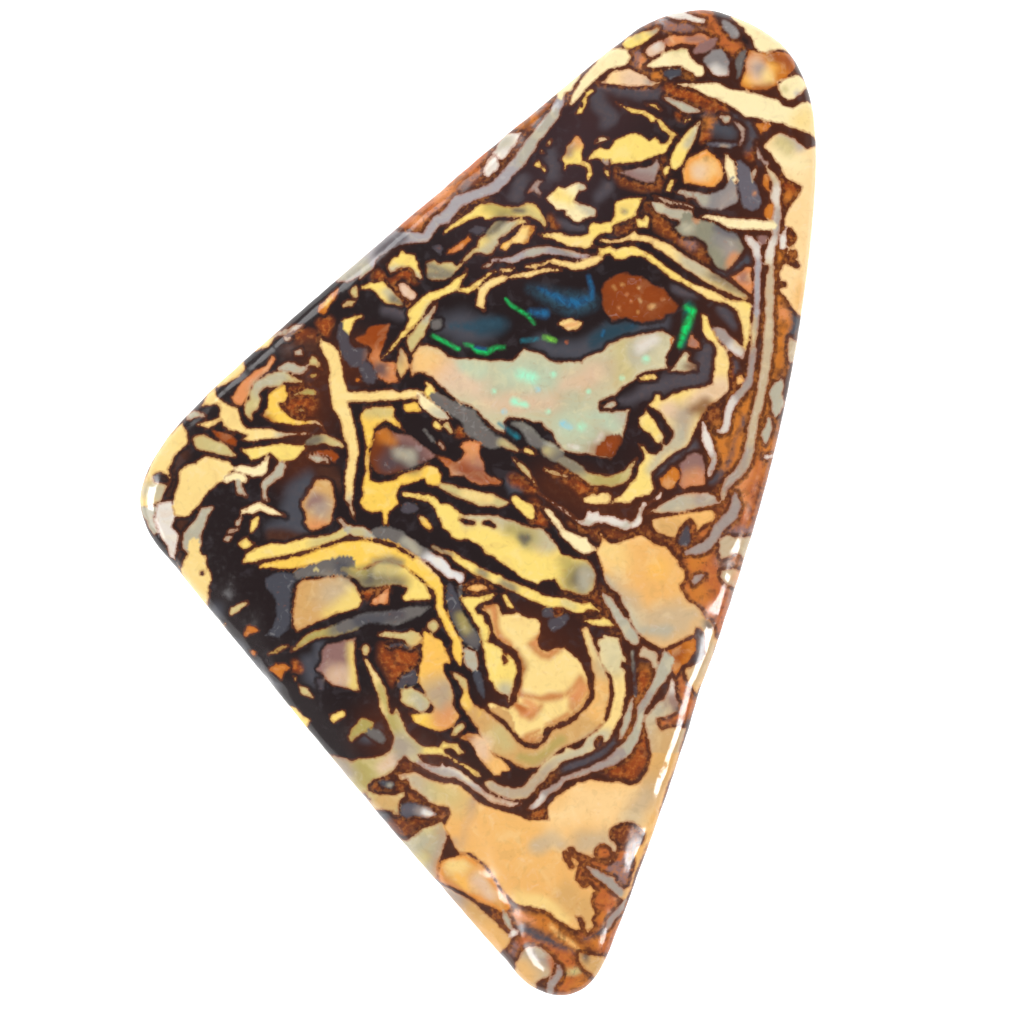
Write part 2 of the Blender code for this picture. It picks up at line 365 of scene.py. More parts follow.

# %% [markdown]
# Opal filled this corner in cream bodies with ragged edges, between arms of nearly black rock. The outline
# of each body is drawn by its corners and bends. The pale bone body at the very tip is partly painted
# glare: the opal there is khaki-cream, and its greyish white is the shine of the polish painted in.

# %% The west corner
# The bone body at the tip of this corner is partly painted glare over khaki-cream opal.
draw("""
body cream -178,50 5,-8 1,-6 -8,-7 -2,-5 -2,-4 1,-7 -6,-12 -14,-5 -3,10 6,16 14,22
shade ash -197,8,50 7,-2,70 4,-2,60
vein ironstone -190,15,35 4,-1,30
stain umber -177,29,50 -4,-9 -1,-10,45 -2,-8,40
body bone -190,0 8,1 2,-9 -2,-6 4,-5 -2,-11 -2,-4 -3,1 0,7 -3,4 -2,6 -3,6
body ash -203,-2 12,0 -2,-8 2,-7 -4,-2 -6,7
stain lilac -189,-29,30 5,-8,60 5,-5,50
stain umber -176,-10,50 0,-10 -2,-12,40
body cream -163,28 7,-1 9,-3 3,-4 -5,-4 -1,-3 -5,-2 -8,-8 -7,-9 -3,-2 -7,0 -2,6 2,8 2,6 1,7 4,3 5,1
seam khaki -168,38,15 4,-2,45 6,-2,35 6,-2 8,-4,10
body rust -158,43 12,-3 3,-3 -1,-3 -6,2 -5,4
body cream -166,58 4,7 4,4 2,-5 8,-6 5,-2 2,-4 1,-4 3,-4 15,0 4,-2 20,-1 -28,-3 -9,-2 -4,2 3,2 -13,4 -2,2
  -1,3 -9,-5 -6,3 5,1 8,3 1,5 -2,3
shade ash -116,40,40 16,1
seam ash -174,52,20 5,1,25 7,-1,5
body cream -141,84 2,-4 -3,-4 -8,-5 -5,-2 -4,1 11,11 / -121,100 7,2 -6,-3 -5,-6 -9,-3 1,4 9,7
body coral -122,88 2,-2 -3,-5 -12,-12 -1,-4 -2,-4 -3,-3 -4,2 -1,3 4,7 9,9 6,2
seam khaki -134,50,8 -2,4,25 2,4,40 2,3,35 -1,4,25 3,5,30 11,4,45 3,1,35 12,-3,5
shade ash -131,68,50 7,4 8,3,40
body gold -114,70 0,-3 2,-3 -2,-4 -4,-1 1,-3 7,-6 7,-1 7,0 3,-1 3,-6 -2,3 -4,2 -9,-1 -8,1 -7,1 -5,2 -4,2 5,4
  0,9 5,3
shade rust -129,51,50 6,-3,30
shade ash -94,47,40 4,-4
stain rust -112,58,80 6,1
body olive -110,64 9,4 6,-2 0,-2 -6,0 / -100,75 4,2 2,-1 -3,-2 / -106,55 2,1 2,-2 -2,0
seam ash -117,80,15 5,1,30 6,-2 4,1,15 1,2,6
body khaki -100,84 2,4 3,-2 3,-7 -4,3 -4,0
body ash -109,90 4,2 1,-4 -4,0
seam ash -114,98,12 2,0
stain rust -104,98,50 5,-1 -9,5,30
stain umber -110,93,60 10,-1,80 3,-8,60
stain rust -90,107,45 0,-5,20
body cream -94,99 1,-8 4,-6 2,-7 -1,-5 2,-16 5,-8 1,-7 3,-7 1,-7 -2,-9 0,-16 5,-12 1,-1 -2,10 2,20 2,10 -1,8
  -1,7 -4,12 -1,3 15,0 26,2 3,4 -3,1 -10,-1 -8,1 -7,-1 -16,0 -3,14 -2,9 -4,5 -5,2
shade ash -75,-1,50 3,-8
seam haze -79,104,40 -1,-6,30 2,-6,35 2,-4,40 4,-2,55 3,2,40 3,3,10
seam khaki -101,36,10 5,1,25 6,1 5,-2 5,-2,10
shade haze -101,36,40 7,2
body rust -99,30 6,1 7,0 4,-3 -2,-4 -4,4 -6,0
seam ash -100,28,10 5,-2,20 5,0,15 2,-2,5
body straw -140,32 24,3 13,-1 1,-2 -6,-6 -9,-2 -6,6 -8,-4 -3,-1 -2,3
seam ivory -124,27,10 -3,-7,30 -5,-2 -7,2,25 -5,0,10 / -149,14,25 5,2 3,-1,30 3,-1,20
seam ash -142,12,15 1,-5,22 4,-3,5 / -116,22,28 -2,-4,30 -8,-7,20 0,-4,15 0,-4,12 2,-2,4
body tan -95,14 5,0 4,-2 2,-13 -3,-11 -6,-3 -5,-1 -4,4 1,5 -3,5 2,5
shade lilac -96,1,50 4,-4,60
shade mauve -99,-1,30 6,3
shade coral -98,-13,40 6,0
stain slate -101,12,50 -6,-8,70 -2,-8 2,-6,90 -6,-4,50 -9,-2,30
stain umber -122,-20,35 12,1 11,0,20 / -89,18,60 8,-6,50
seam ivory -139,-5,12 5,1,25 5,2,20 5,-2 10,-4,5
seam straw -130,-9,10 -2,-3,25 -2,-5,10
body straw -142,-24 3,3 3,1 1,-3 3,-1 -6,-4 -3,2
seam ash -150,-22,6 2,1,15 2,1,5 / -142,-12,16 2,3,6 / -147,-17,12 5,1,5 / -158,-3,10 -4,-3,30 -2,-4
  -6,-10,50 0,-4,60
body cream -172,-23 0,-6 -6,-11 -1,-14 8,-11 5,-2 6,7 0,4 0,6 2,4 -3,10 0,4 -3,1 -2,9 -3,2
vein ironstone -164,-42,16 0,0,10
stain slate -162,-66,40 6,1,50
seam straw -138,-35,10 4,3,35 6,2,40 7,2 7,0,35 6,2 6,2 12,2,25 6,2,20 8,4,30
shade khaki -95,-23,40 11,3 8,5,50
seam ash -81,-10,10 3,-4,12 2,-2,25 8,-2,40 4,-2,30 4,-1,12
shade khaki -72,-18,25 4,0
seam gold -128,-38,10 5,2,25 12,0,35 29,8,50 6,0,70 5,-2,100 11,2,70 8,0 6,-2,60 6,-4,50 10,-8,40 4,-4
body slate -126,-45 6,3 6,1 5,-1 1,-4 -3,-7 0,-16 -2,-6 -5,-5 -8,1 4,5 3,6 0,8 -2,6 -4,4
seam smoke -106,-42,25 8,2,35 20,3,60
body khaki -98,-40 2,2 2,-2 -2,-1
body tan -107,-50 4,4 21,3 6,-2 4,-4 4,-9 -2,-4 -6,-2 -6,-1 -25,-11 -2,4 0,8
shade sand -84,-54,100 6,2,80
shade straw -88,-66,35 16,6,70 -1,8,35
seam olive -110,-88,6 9,7,20 5,3,22 11,2,30 12,4,35
shade smoke -84,-76,50 11,5,60
seam olive -124,-90,5 8,4,14 3,1,5
seam khaki -147,-66,8 2,2,20 8,5,6
body straw -157,-76 3,4 1,-2 2,2 -2,-7 -2,-2
body ember -139,-77 3,4 4,-1 2,-2 -9,-4 / -136,-89 2,1 2,-2 -1,-1 / -125,-99 5,3 5,0 3,-2 -3,-2 -2,-5
stain rust -109,-97,25 3,-1
stain slate -146,-85,30 12,-11,40 11,-13 / -94,-83,30 1,-9,40 / -100,-95,50 2,-8 4,-4,40
body haze -95,-105 3,0 1,-6 -3,0
seam khaki -106,-109,6 3,-3,25 5,-4,4
body olive -109,-104 1,0 0,-2
body straw -118,-123 7,1 4,-2 3,-5 4,-1 -1,-5 1,-5 4,-3 -6,-3 -10,12 / -88,-126 9,3 1,-3 -7,-5 -3,2
body mauve -92,-89 3,5 6,1 11,3 -1,-10 2,-16 1,-6 -16,4 -9,9 3,5
shade straw -74,-85,20 0,-22,50
shade blush -83,-103,60
""")
print("the west corner:", drawing.marks, "marks")

# %% [markdown]
# Long yellow arms cross the middle of the stone, with grey glassy seams beside them. A seam is a
# stroke, wide in its middle and fine at its ends, so its points carry a width.

# %% The middle
draw("""
body rust -72,98 5,2 4,5 11,1 -3,-12 -3,-7 1,-3 4,-1 4,1 1,-2 0,-6 2,-4 -7,-1 -5,3 -2,5 -5,7 3,3 0,3 -9,4
shade coral -59,86,50 7,-5,60 0,-6,70
shade slate -57,79,45 1,-1,30
body ember -72,74 2,0 0,-2 -2,0
seam khaki -45,91,10 1,-5,30 0,-5,35 -1,-7,5
shade smoke -45,90,30 1,-5
seam haze -66,80,40 2,-5,42 2,-3,15
seam ivory -34,64,15 3,-4,30 5,-5,35 5,-3,30 4,-2,10
shade ash -24,54,40 6,-3
seam straw -30,71,10 2,-2,20 0,-4,35 2,-2,12
seam smoke -25,63,30 7,-5,35 13,-7,50 3,-6,55 5,-5,50 6,-4,40 6,0,30 9,-5,10
shade khaki 15,35,25 8,-4
body gold -69,52 3,4 8,1 8,0 2,-2 -2,-3 7,-9 -3,1 -8,5 -4,-2 -3,-3 -1,-7 -2,-7 0,-10 1,-6 5,-2 8,1 6,4 8,2
  7,3 5,-1 3,-4 -1,-6 -4,-1 -4,2 -1,2 -13,-3 -3,-3 -1,-4 2,-4 -4,-4 -3,-3 0,-7 -2,3 -1,6 -6,-1 -4,2 -3,4 2,6
  -1,6 2,7 0,18
shade khaki -64,54,30 7,0,40 6,0,30
body sienna -62,37 3,6 5,1 6,-3 8,-1 16,-12 -3,-2 -7,-3 -13,-5 -7,-1 -5,1 -4,5 -1,5 2,5
shade mauve -44,40,40 8,-6,50 10,-6,40
shade haze -52,23,50 6,5,70 7,-3 -10,6,40
shade ash -46,29,35 6,-2,40
shade ember -55,40,50 5,-3,35
body gold -44,56 1,2 7,2 2,-4 1,-2 -9,0
body straw -26,48 2,1 3,-3 0,-3 -2,0 -3,2
seam khaki -18,46,20 3,-4,10
seam smoke -31,43,5 5,-6,12 1,-2,5
seam ash -22,35,15 2,-2,12
body coral -8,36 4,1 6,-1 -1,-6 3,-6 0,-5 3,-3 7,-3 0,-2 -12,0 -6,2 -4,3 -8,0 0,3 -4,5 -4,4 6,-2 5,-2 4,2
  2,4 -3,3
shade mauve -9,19,60 9,0,80
shade rust -22,27,40 34,-15
stain rust -9,42,30 2,-1
seam khaki -21,10,20 23,-8,40 6,0 5,-2,30 5,0,8
shade cream -8,6,30 14,-4,35
body straw -44,6 15,-1 5,-2 2,-3 6,-1 8,-7 12,1 8,-1 7,-2 12,-4 8,-2 4,-3 7,-11 5,-2 10,-2 3,-3 2,-5 0,-5
  -1,-4 -3,-3 -4,-1 -5,2 -7,2 -4,6 -8,-1 -2,-2 -6,2 -6,3 -4,4 -10,7 -4,2 -6,6 -5,2 -6,0 -4,2 -1,3 -4,2 -1,4
  -3,3 0,4 -5,5 -15,3
shade ash -5,-10,40 10,2 10,-2,50 9,-4 17,-7,80
shade olive 21,-16,50 9,-3,70 / 53,-35,50 3,-7,80 -2,-6,40
shade haze 62,-46,80 4,2 -3,-6,60
shade ash 65,-43,50 0,-6,40
vein ironstone -10,-10,10 4,-1,18 4,-1,12 / 4,-12,12 3,0,20 3,-2,10
shade slate 27,-21,30 1,-2,20 2,3,25
body gold -35,-8 3,0 4,-3 2,-4 -2,-2 -3,2
shade khaki -34,-8,25
seam haze -43,-4,20 2,1,35 3,0,25
seam straw 22,2,20 8,-6,40 2,-4,20
stain slate 20,12,25 3,-4,30 -1,-4,20
stain rust 23,14,30 7,-4,35 3,-2,20 / 32,-1,25 3,-6,50 5,-5,30
seam khaki 22,26,8 8,-8,20 4,-6,8
seam straw 29,31,12 3,-1,15 2,-1,5
seam khaki 40,20,5 5,-2,10 8,-2,4
seam smoke 21,47,8 5,-1,20 4,-3,30 3,-5,40 3,-3,30 3,0,25 3,-3,45 5,-4,40
shade khaki 42,31,30 4,-3
seam smoke -59,-18,32 6,0,40 6,-2 20,-13,30 5,-3,42 6,-6,25 3,0 3,-2,30 2,-1,10
shade ash -43,-23,25 7,-5,30
shade white -28,-32,35 6,-4,50 6,-6,40 6,-2
seam straw -26,-26,5 6,-3,12 5,-1,15 4,-4,20 11,-6,25 40,-18,30 12,-1 6,-3,32 4,0,30 4,1,20 6,-3,4
shade khaki 53,-60,30 5,-2,25
shade smoke -26,-26,30 10,-4,20 / 3,-41,30 2,-1 / 16,-47,30 4,-2,35
seam gold -26,-46,40 3,-4,32 1,-4,22 0,-8 10,-20,25 0,-4,30 1,-5,25 1,-5,6
body straw -74,-38 9,-1 8,5 5,0 4,-1 8,-5 9,-8 4,-8 -2,-1 -9,-1 -5,0 -1,2 2,3 1,3 -8,2 -13,-2 -4,0 -3,2 -2,3
  -10,5 0,3
shade slate -80,-38,50 7,-6,40 7,-2,70 16,1,45 5,-2,35 / -64,-43,40 2,4,20
shade smoke -60,-35,25 8,1,40 6,-2,30
shade olive -73,-40,30 7,-1
shade khaki -58,-40,35 7,-1,30
body coral -63,-60 2,4 4,2 3,3 2,0 -1,-9 -5,0
stain rust -68,-54,25 7,0,40 7,4,30
seam smoke -80,-74,35 15,6,30 9,0,35 8,0,45 12,4,30 8,2,5
shade haze -49,-67,35 4,1,30
shade slate -70,-70,40 14,2
seam khaki -58,-78,8 4,0,20 10,-1 4,1 2,-2,50 4,0,20
seam slate -52,-85,5 7,1,10 6,-2,6
stain rust -50,-90,80 2,-8,50 0,-7,25 / -41,-90,60 2,-3,70
seam khaki -66,-85,12 0,-2,22 0,-2,15
body khaki -67,-92 9,-25 0,-4 13,-27 5,-5 5,-3 3,2 -4,6 -12,26 -2,-3 -2,1 -1,9 -1,5 -8,13 -3,4
shade cream -65,-95,40 4,-8 5,-19
shade olive -57,-109,30 1,-6 7,-19
body gold -32,-75 11,-7 5,-11 0,-2 -3,1 -1,-2 0,-4 4,-6 2,-8 0,-6 2,-4 2,-2 -6,-8 -5,-1 -7,1 -6,2 -4,3 -2,4
  7,0 6,1 2,2 -5,7 -3,6 -2,6 1,4 2,9
shade amber -27,-86,80 2,-9,130 -2,-6,80
shade lilac -26,-113,80 6,1,90 1,-6
shade coral -16,-123,40 -3,-6,80 6,3,30
seam khaki -26,-70,12 0,-3,32 0,-3,10
seam haze -44,-110,12 -1,2,20 3,4,25 3,0,40 1,4,15
seam khaki -43,-112,25 3,-3,55 4,-1,50 3,-3 3,-2,15
shade ash -36,-115,30 4,-5,40
body olive -77,-139 2,4 6,7 3,0 5,-2 -1,-3 -4,-3 -6,-3 -3,-3
stain slate -66,-139,40 5,3
seam khaki -15,-138,6 3,3,25 3,3,20 1,1,5
body tan -16,-100 6,-7 2,-5 -2,-5 1,-4 9,-12 8,-7 6,-4 4,3 0,6 -3,5 -4,2 -6,7 -3,-1 -4,3 -2,4 -2,10 -3,3
  -4,1
shade khaki -15,-101,25 6,-5,40
shade gold -7,-114,30 0,-6 / 6,-125,30 6,-8,80
body peach -6,-51 3,3 5,0 4,-2 -6,-3
stain rust -8,-50,20 8,-1,45 8,1,20
body straw -10,-56 7,0 10,2 4,0 -3,-3 -5,-2 -4,-3 1,-4 3,0 1,-4 3,-3 1,-4 -2,-5 5,-2 4,-2 1,-4 3,0 3,-3 2,-4
  -5,-21 -1,4 -5,2 -3,3 -3,5 -5,26 -1,4 -3,4
shade ash 16,-111,50 3,-4,40
vein rust 16,-92,14 1,-2
seam haze -16,-49,15 1,-6,35 3,-12,40 4,-6,45 3,-5,50 3,-4,40 2,-4,10
shade slate -15,-52,30 1,-7,40
shade olive -10,-69,35 4,-6
shade smoke -3,-80,50
seam ash -6,-88,20 2,-3,40 1,-4,38 2,-4,15
seam slate 0,-101,20 1,-5,22 3,-9,5
seam smoke -10,-50,8 0,-5,10
body straw 15,-54 3,-1 3,-5 1,-2 -4,0 -2,3
seam haze 40,-65,15 2,0,30 2,-1,15 / 45,-74,20 1,2,40 4,2,30 2,2,20
stain rust 48,-64,35 1,2,20 / 2,-45,20 2,-1,15
""")
print("the middle:", drawing.marks, "marks")

# %% [markdown]
# The largest body is a basin of milky opal with a rim of yellow arms. East of it the rock is open and
# rusty, and holds peach-coloured bodies. The lilac stains on that rusty rock near the east edge are light
# streaks in the rock and partly painted glints of the polish.

# %% The east side and the milky basin
# The lilac stains in the rusty rock by the east edge are partly painted glints.
draw("""
stain slate -19,106,50 11,-2,90 11,-1,80
stain steel 3,105,50 10,0
stain slate 38,94,50 7,-4 15,0,60 10,3,70 10,7,60 15,3,50 15,4,40
stain steel 70,96,40 8,5,45 14,4,30
body milk -39,82 1,6 4,5 5,1 7,-3 6,-5 27,-2 10,0 7,7 11,-3 4,-4 7,-1 10,1 2,-1 2,3 11,4 3,4 5,2 4,2 23,4
  7,-5 -5,-11 0,-4 1,-2 -13,-2 -4,-2 -4,-4 -5,-3 -5,-5 -5,-2 -5,-2 -1,-4 2,-2 7,0 10,1 -5,-19 -5,-10 -11,2
  -4,1 -11,1 -4,2 -6,10 -4,2 -2,4 -5,0 -5,2 -8,1 -2,-1 -2,-2 1,-4 -1,-3 -4,2 -8,7 -3,4 -4,3 -8,3 -7,6 -8,8
  -5,3 -5,0 -3,-2
shade mist 12,68,100 22,1,160 18,-9 12,-14,120
shade khaki 85,93,50 1,-15,80
shade peach -35,83,100 9,-1,80
shade rust -38,85,20 -1,-8,25 6,-1,20
shade peach -32,83,80 8,-3,70
shade blush -16,76,90 14,-8,70
shade sand 24,61,60 22,1,70 / 66,74,70 8,4,80
shade mist 50,40,70 14,-2,90
shade milk 52,43,50 11,6,60
shade ash 73,49,60 8,-2,50 / 83,53,30 4,-3,40
shade bone 55,34,10 6,-1,15 / 69,37,6 4,3,10
shade ash 94,89,60 9,5,50
body sienna 70,33 8,7 6,1 2,-1 -1,-5 -5,-9 -10,2 0,2
shade rust 72,32,50 6,2,60
stain haze 80,60,12 9,0,25 9,4,40 8,5,50 10,3 12,1,60 5,4 2,7 2,7,40
seam ash 76,57,6 4,1,20 2,0,5
seam straw 96,73,5 4,1,18 4,1,15 2,-1,5
body milk 114,78 4,4 2,4 4,4 2,-2 -1,-4 5,-2 0,-3 -7,-1
shade sienna 129,80,50 -3,1,30
body coral 127,101 4,-6 1,-3 -3,0 -4,1 0,3
shade mauve 128,95,50
body ember 114,96 1,2 2,0 -1,-2 -1,-2
body cream 133,112 3,-1 3,-8 4,-7 5,-5 2,-5 -1,-8 1,-10 -5,-6 -9,-5 -8,-15 -1,-4 -3,-4 -12,-8 -9,-9 0,-3
  2,-6 -3,-3 -8,-2 -3,-3 -9,0 -4,0 7,4 5,7 4,3 2,8 3,4 0,3 -3,5 0,16 3,2 3,6 3,3 1,3 2,0 1,-3 2,0 6,4 22,5
  1,2 1,12 1,5 0,3 -2,3 -3,2 -3,4
shade straw 135,106,50 5,-8,30 / 108,62,50 7,2,30 11,2 / 102,47,70 5,-7,50 -7,-10,60 -1,-10,70 -3,-9,80
  -7,-7,40
shade lilac 122,51,80 -2,-7,60
shade blush 114,56,50
shade ash 116,36,70 4,4,50 -11,-11,40 -5,-9,30
shade blush 144,68,70 -9,-4,60 -7,-3,40
shade sienna 129,55,35 6,1,60
stain sienna 133,54,70 6,1,80 3,-3,40
vein ironstone 99,58,12 7,-6,30 8,-12 -2,-3,25 0,-2,12 / 95,40,50 4,-2,45 3,-2,35 2,-4 2,-2,15 / 104,32,30
  4,1,25 2,1,8
body khaki 50,28 12,-6 2,-3 5,-2 6,-1 5,0 5,2 5,4 3,4 2,0 -3,-5 -1,-4 -2,-4 -7,-3 -9,0 -6,1 -21,14
shade smoke 48,26,50 8,-4,60 6,-3,30
shade olive 70,14,40 6,-2,50 8,3,40
stain rust 49,18,30 7,-3 7,-5,45 7,-3,25
seam cream 64,2,15 4,0,30 4,0,25 4,1,35 2,1,10
body bone 36,6 8,-5 16,-11 3,0 2,2 1,4 2,-2 4,1 1,-2 9,-1 3,-2 4,0 2,-2 2,1 2,4 1,4 2,3 4,0 4,3 3,4 1,-1
  -1,-3 -9,-4 -2,-3 -1,-4 1,-3 -2,-3 -4,-1 -4,-1 -12,4 -6,0 -4,-2 -5,1 -16,13
shade ash 52,-5,30 13,-8,20 21,-2 12,10
body ivory 38,-2 5,-2 10,-12 8,-4 4,0 2,-4 3,-2 0,-2 -3,-2 -4,0 -4,2 -9,8 -2,4
stain sienna 56,-13,30 10,-4,40 16,-2,50 12,1,40 12,-3,30 10,-3,40
body peach 73,-18 3,-4 3,-2 4,0 14,5 8,-5 7,-2 6,-6 2,-5 3,-3 1,-4 -4,-5 1,-3 5,-7 7,-4 3,-6 3,-1 2,-3 1,-7
  4,-2 -9,-24 -5,-8 -3,4 -3,3 -2,5 0,3 9,4 3,5 0,7 -1,5 -3,4 -2,0 -1,-4 -10,-5 -6,-3 -4,0 -9,5 -7,6 -3,9
  -4,7 -1,4 -9,8 -2,9 -2,4 -1,4 0,2 2,3 1,3
shade cream 75,-28,50 7,-2,80 4,-6
shade apricot 102,-40,160 4,-8,120
shade amber 107,-39,60
shade sand 82,-48,40 8,-11,60 6,-11,80 12,-2,120 12,3,110 8,3,70 / 137,-76,50 2,-10,60 -5,-13,70 -5,-6,50
shade ash 113,-76,30 -18,2,25 -19,29
shade haze 138,-73,30 -1,2,20
body sand 101,-6 13,8 11,4 12,0 4,-2 2,-3 2,0 -1,-2 -7,-1 -21,-4
shade ash 112,-3,40 10,4,50
shade lilac 133,3,50 8,-1,40
body peach 104,-10 21,4 15,2 2,-3 -2,-4 -6,-2 -8,-9 -2,2 -4,1 -1,-2 -6,1 -5,2 -4,4
shade tan 109,-13,60 7,-2
vein sienna 120,-23,30 2,6 4,5 2,-3,25 -1,-7,30
seam haze 125,-14,8 -2,-8,35 -1,-2,15
body mauve 120,23 5,5 4,2 4,-2 2,-5 0,-12 -4,-1 -5,0 -4,-2 -2,3 1,5
shade coral 132,13,60 -6,-1,50
body ember 108,14 8,7 4,-1 0,-5 -3,-5 -4,-2 -3,2
stain haze 108,17,20 6,8,30 13,10
seam bone 134,48,6 2,-9,28 4,-10,22 1,-4,20 -3,-7,15 0,-2,4
shade lilac 140,26,30 -1,-7
stain haze 139,12,20 10,11,30
seam lilac 166,113,20 -3,-33 -1,-7,22 -3,-5,24 -8,-9,28 -2,-5,26 -1,-10,22 -3,-2,15 -4,1,4
shade bone 150,58,50 -1,-8 -3,-8,30
stain ember 165,80,20 -1,-12,50 -5,-9,80 -4,-9,70 -5,-8,90 -4,-7,80 -1,-9,50 4,3,40
stain haze 159,50,15 -6,-20,20 -4,-6
stain ember 158,42,20 -2,-12,35 -3,-7,30
seam sand 174,112,28 -1,-22,34 -3,-20,28 -2,-10 -3,-10 -3,-20,32 -3,-7,34 -4,-6,30 -5,-4,26 -3,-5,20
  -1,-6,10
shade lilac 161,30,30 -5,-12,50 -8,-9,40
stain ember 180,110,70 0,-10,80 -1,-10,70 -2,-10,50 -3,-10,30 -2,-20,60 -1,-10,90 -2,-10,80 -3,-8
seam ash 182,74,10 -2,-4,30 -2,-5,42 2,-5 -1,-4,35 -1,-4,10 / 174,50,12 0,-5,25 -2,-5 0,-4,8
seam bone 170,28,4 3,-1,12 5,-1
stain terracotta 164,22,80 -4,-8,90 -2,-8,110 0,-9,100 -1,-7,80
stain coral 162,19,30 -6,-11,40 3,-8
stain terracotta 142,-8,40 2,8,50 3,-6,40
seam lilac 140,104,6 4,-3,28 4,-4,35 8,-7,32 2,-4,8
shade bone 153,92,40 3,-3,30
seam peach 157,76,10 -1,-3,25 -2,-3,6
stain rust 151,86,25 1,-10,20 1,-7,30
stain slate 153,85,15 1,-7
seam lilac 154,5,12 0,-7,30 -2,-5,35 -9,-9,30 -3,-6,28 -4,-4,30 -6,-2 -6,-2,8
body sand 144,-23 3,3 3,1 3,-2 4,1 13,-3 -4,-10 -6,-1 -3,3 -4,1 -3,-2 -5,-2 -1,5
stain mauve 150,-17,30 15,-1,35
stain coral 152,-33,30 3,-1,45
body sand 145,-40 5,1 13,-1 -3,-7 -6,-2 -4,0 -3,2 -2,3
shade coral 157,-44,50
stain lilac 145,-36,40 4,-2,35 4,0,20 / 144,-49,25 4,-2,35 / 147,-58,30 -3,-6,35 -2,-7,30
stain terracotta 133,-16,110 0,-5,60 / 129,-34,90 7,0,80 -4,-8,140 1,-10 6,-9,100 7,-3,70 -1,-10,60 /
  140,-44,60 1,-10,70
stain ember 130,-36,50 5,3,30 / 132,-53,60 3,-4,40
body lilac 127,-46 2,2 4,2 3,-1 -7,-6
seam ash 74,-53,6 4,-5,25 3,-5 7,-10,35 3,-5,38 3,-4,25
body straw 62,-70 13,2 4,-2 3,-4 -4,1 -6,0
stain sienna 53,-54,30 11,-4,50 10,-1,90 5,-6,70 -7,0,30 -9,-1 / 80,-70,50 4,-7,40
body ember 112,-88 14,6 4,1 0,-7 -3,-5 -5,-4 -2,-4 -2,-2
shade rust 118,-92,50 4,4,30
stain haze 132,-79,30 1,-7,35 -3,-6,40
body sand 98,-84 9,-5 1,-9 -3,-1 -2,4 -3,3 -4,1
seam ash 112,-90,20 1,-4,40 -2,-5,45 -2,-5,35 -3,-5,25 -9,-14 0,-5,20 -3,-10,30 -5,-8,38 -4,-3
shade lilac 102,-115,30 -4,-7
seam haze 92,-88,6 2,-26,5
seam ash 92,-116,8 -2,-10,22 -3,-9 -2,-5,10
stain ember 98,-99,20 4,-2,35 2,-6,40 -8,-11,35
stain rust 99,-104,40 -1,-6,30
stain ember 94,-126,20 -2,-7,30 -3,-6 / 99,-132,30 -1,-16,80
body sand 116,-104 2,-5 0,-5 2,-5 -1,-5 -6,-3 -6,-1 0,-3 3,-5 4,2 6,0 6,-1 -4,-11 -4,-14 -5,-15 -7,5 -2,12
  0,8 -4,17 0,6 7,8 4,2
shade bone 116,-108,40 0,-5,30
shade mauve 115,-118,45 3,-3,40
shade ash 106,-123,50
shade haze 119,-124,20
stain terracotta 110,-131,40 7,1,50 6,5,40 / 121,-106,30 6,-16,40
""")
print("the east side and the milky basin:", drawing.marks, "marks")
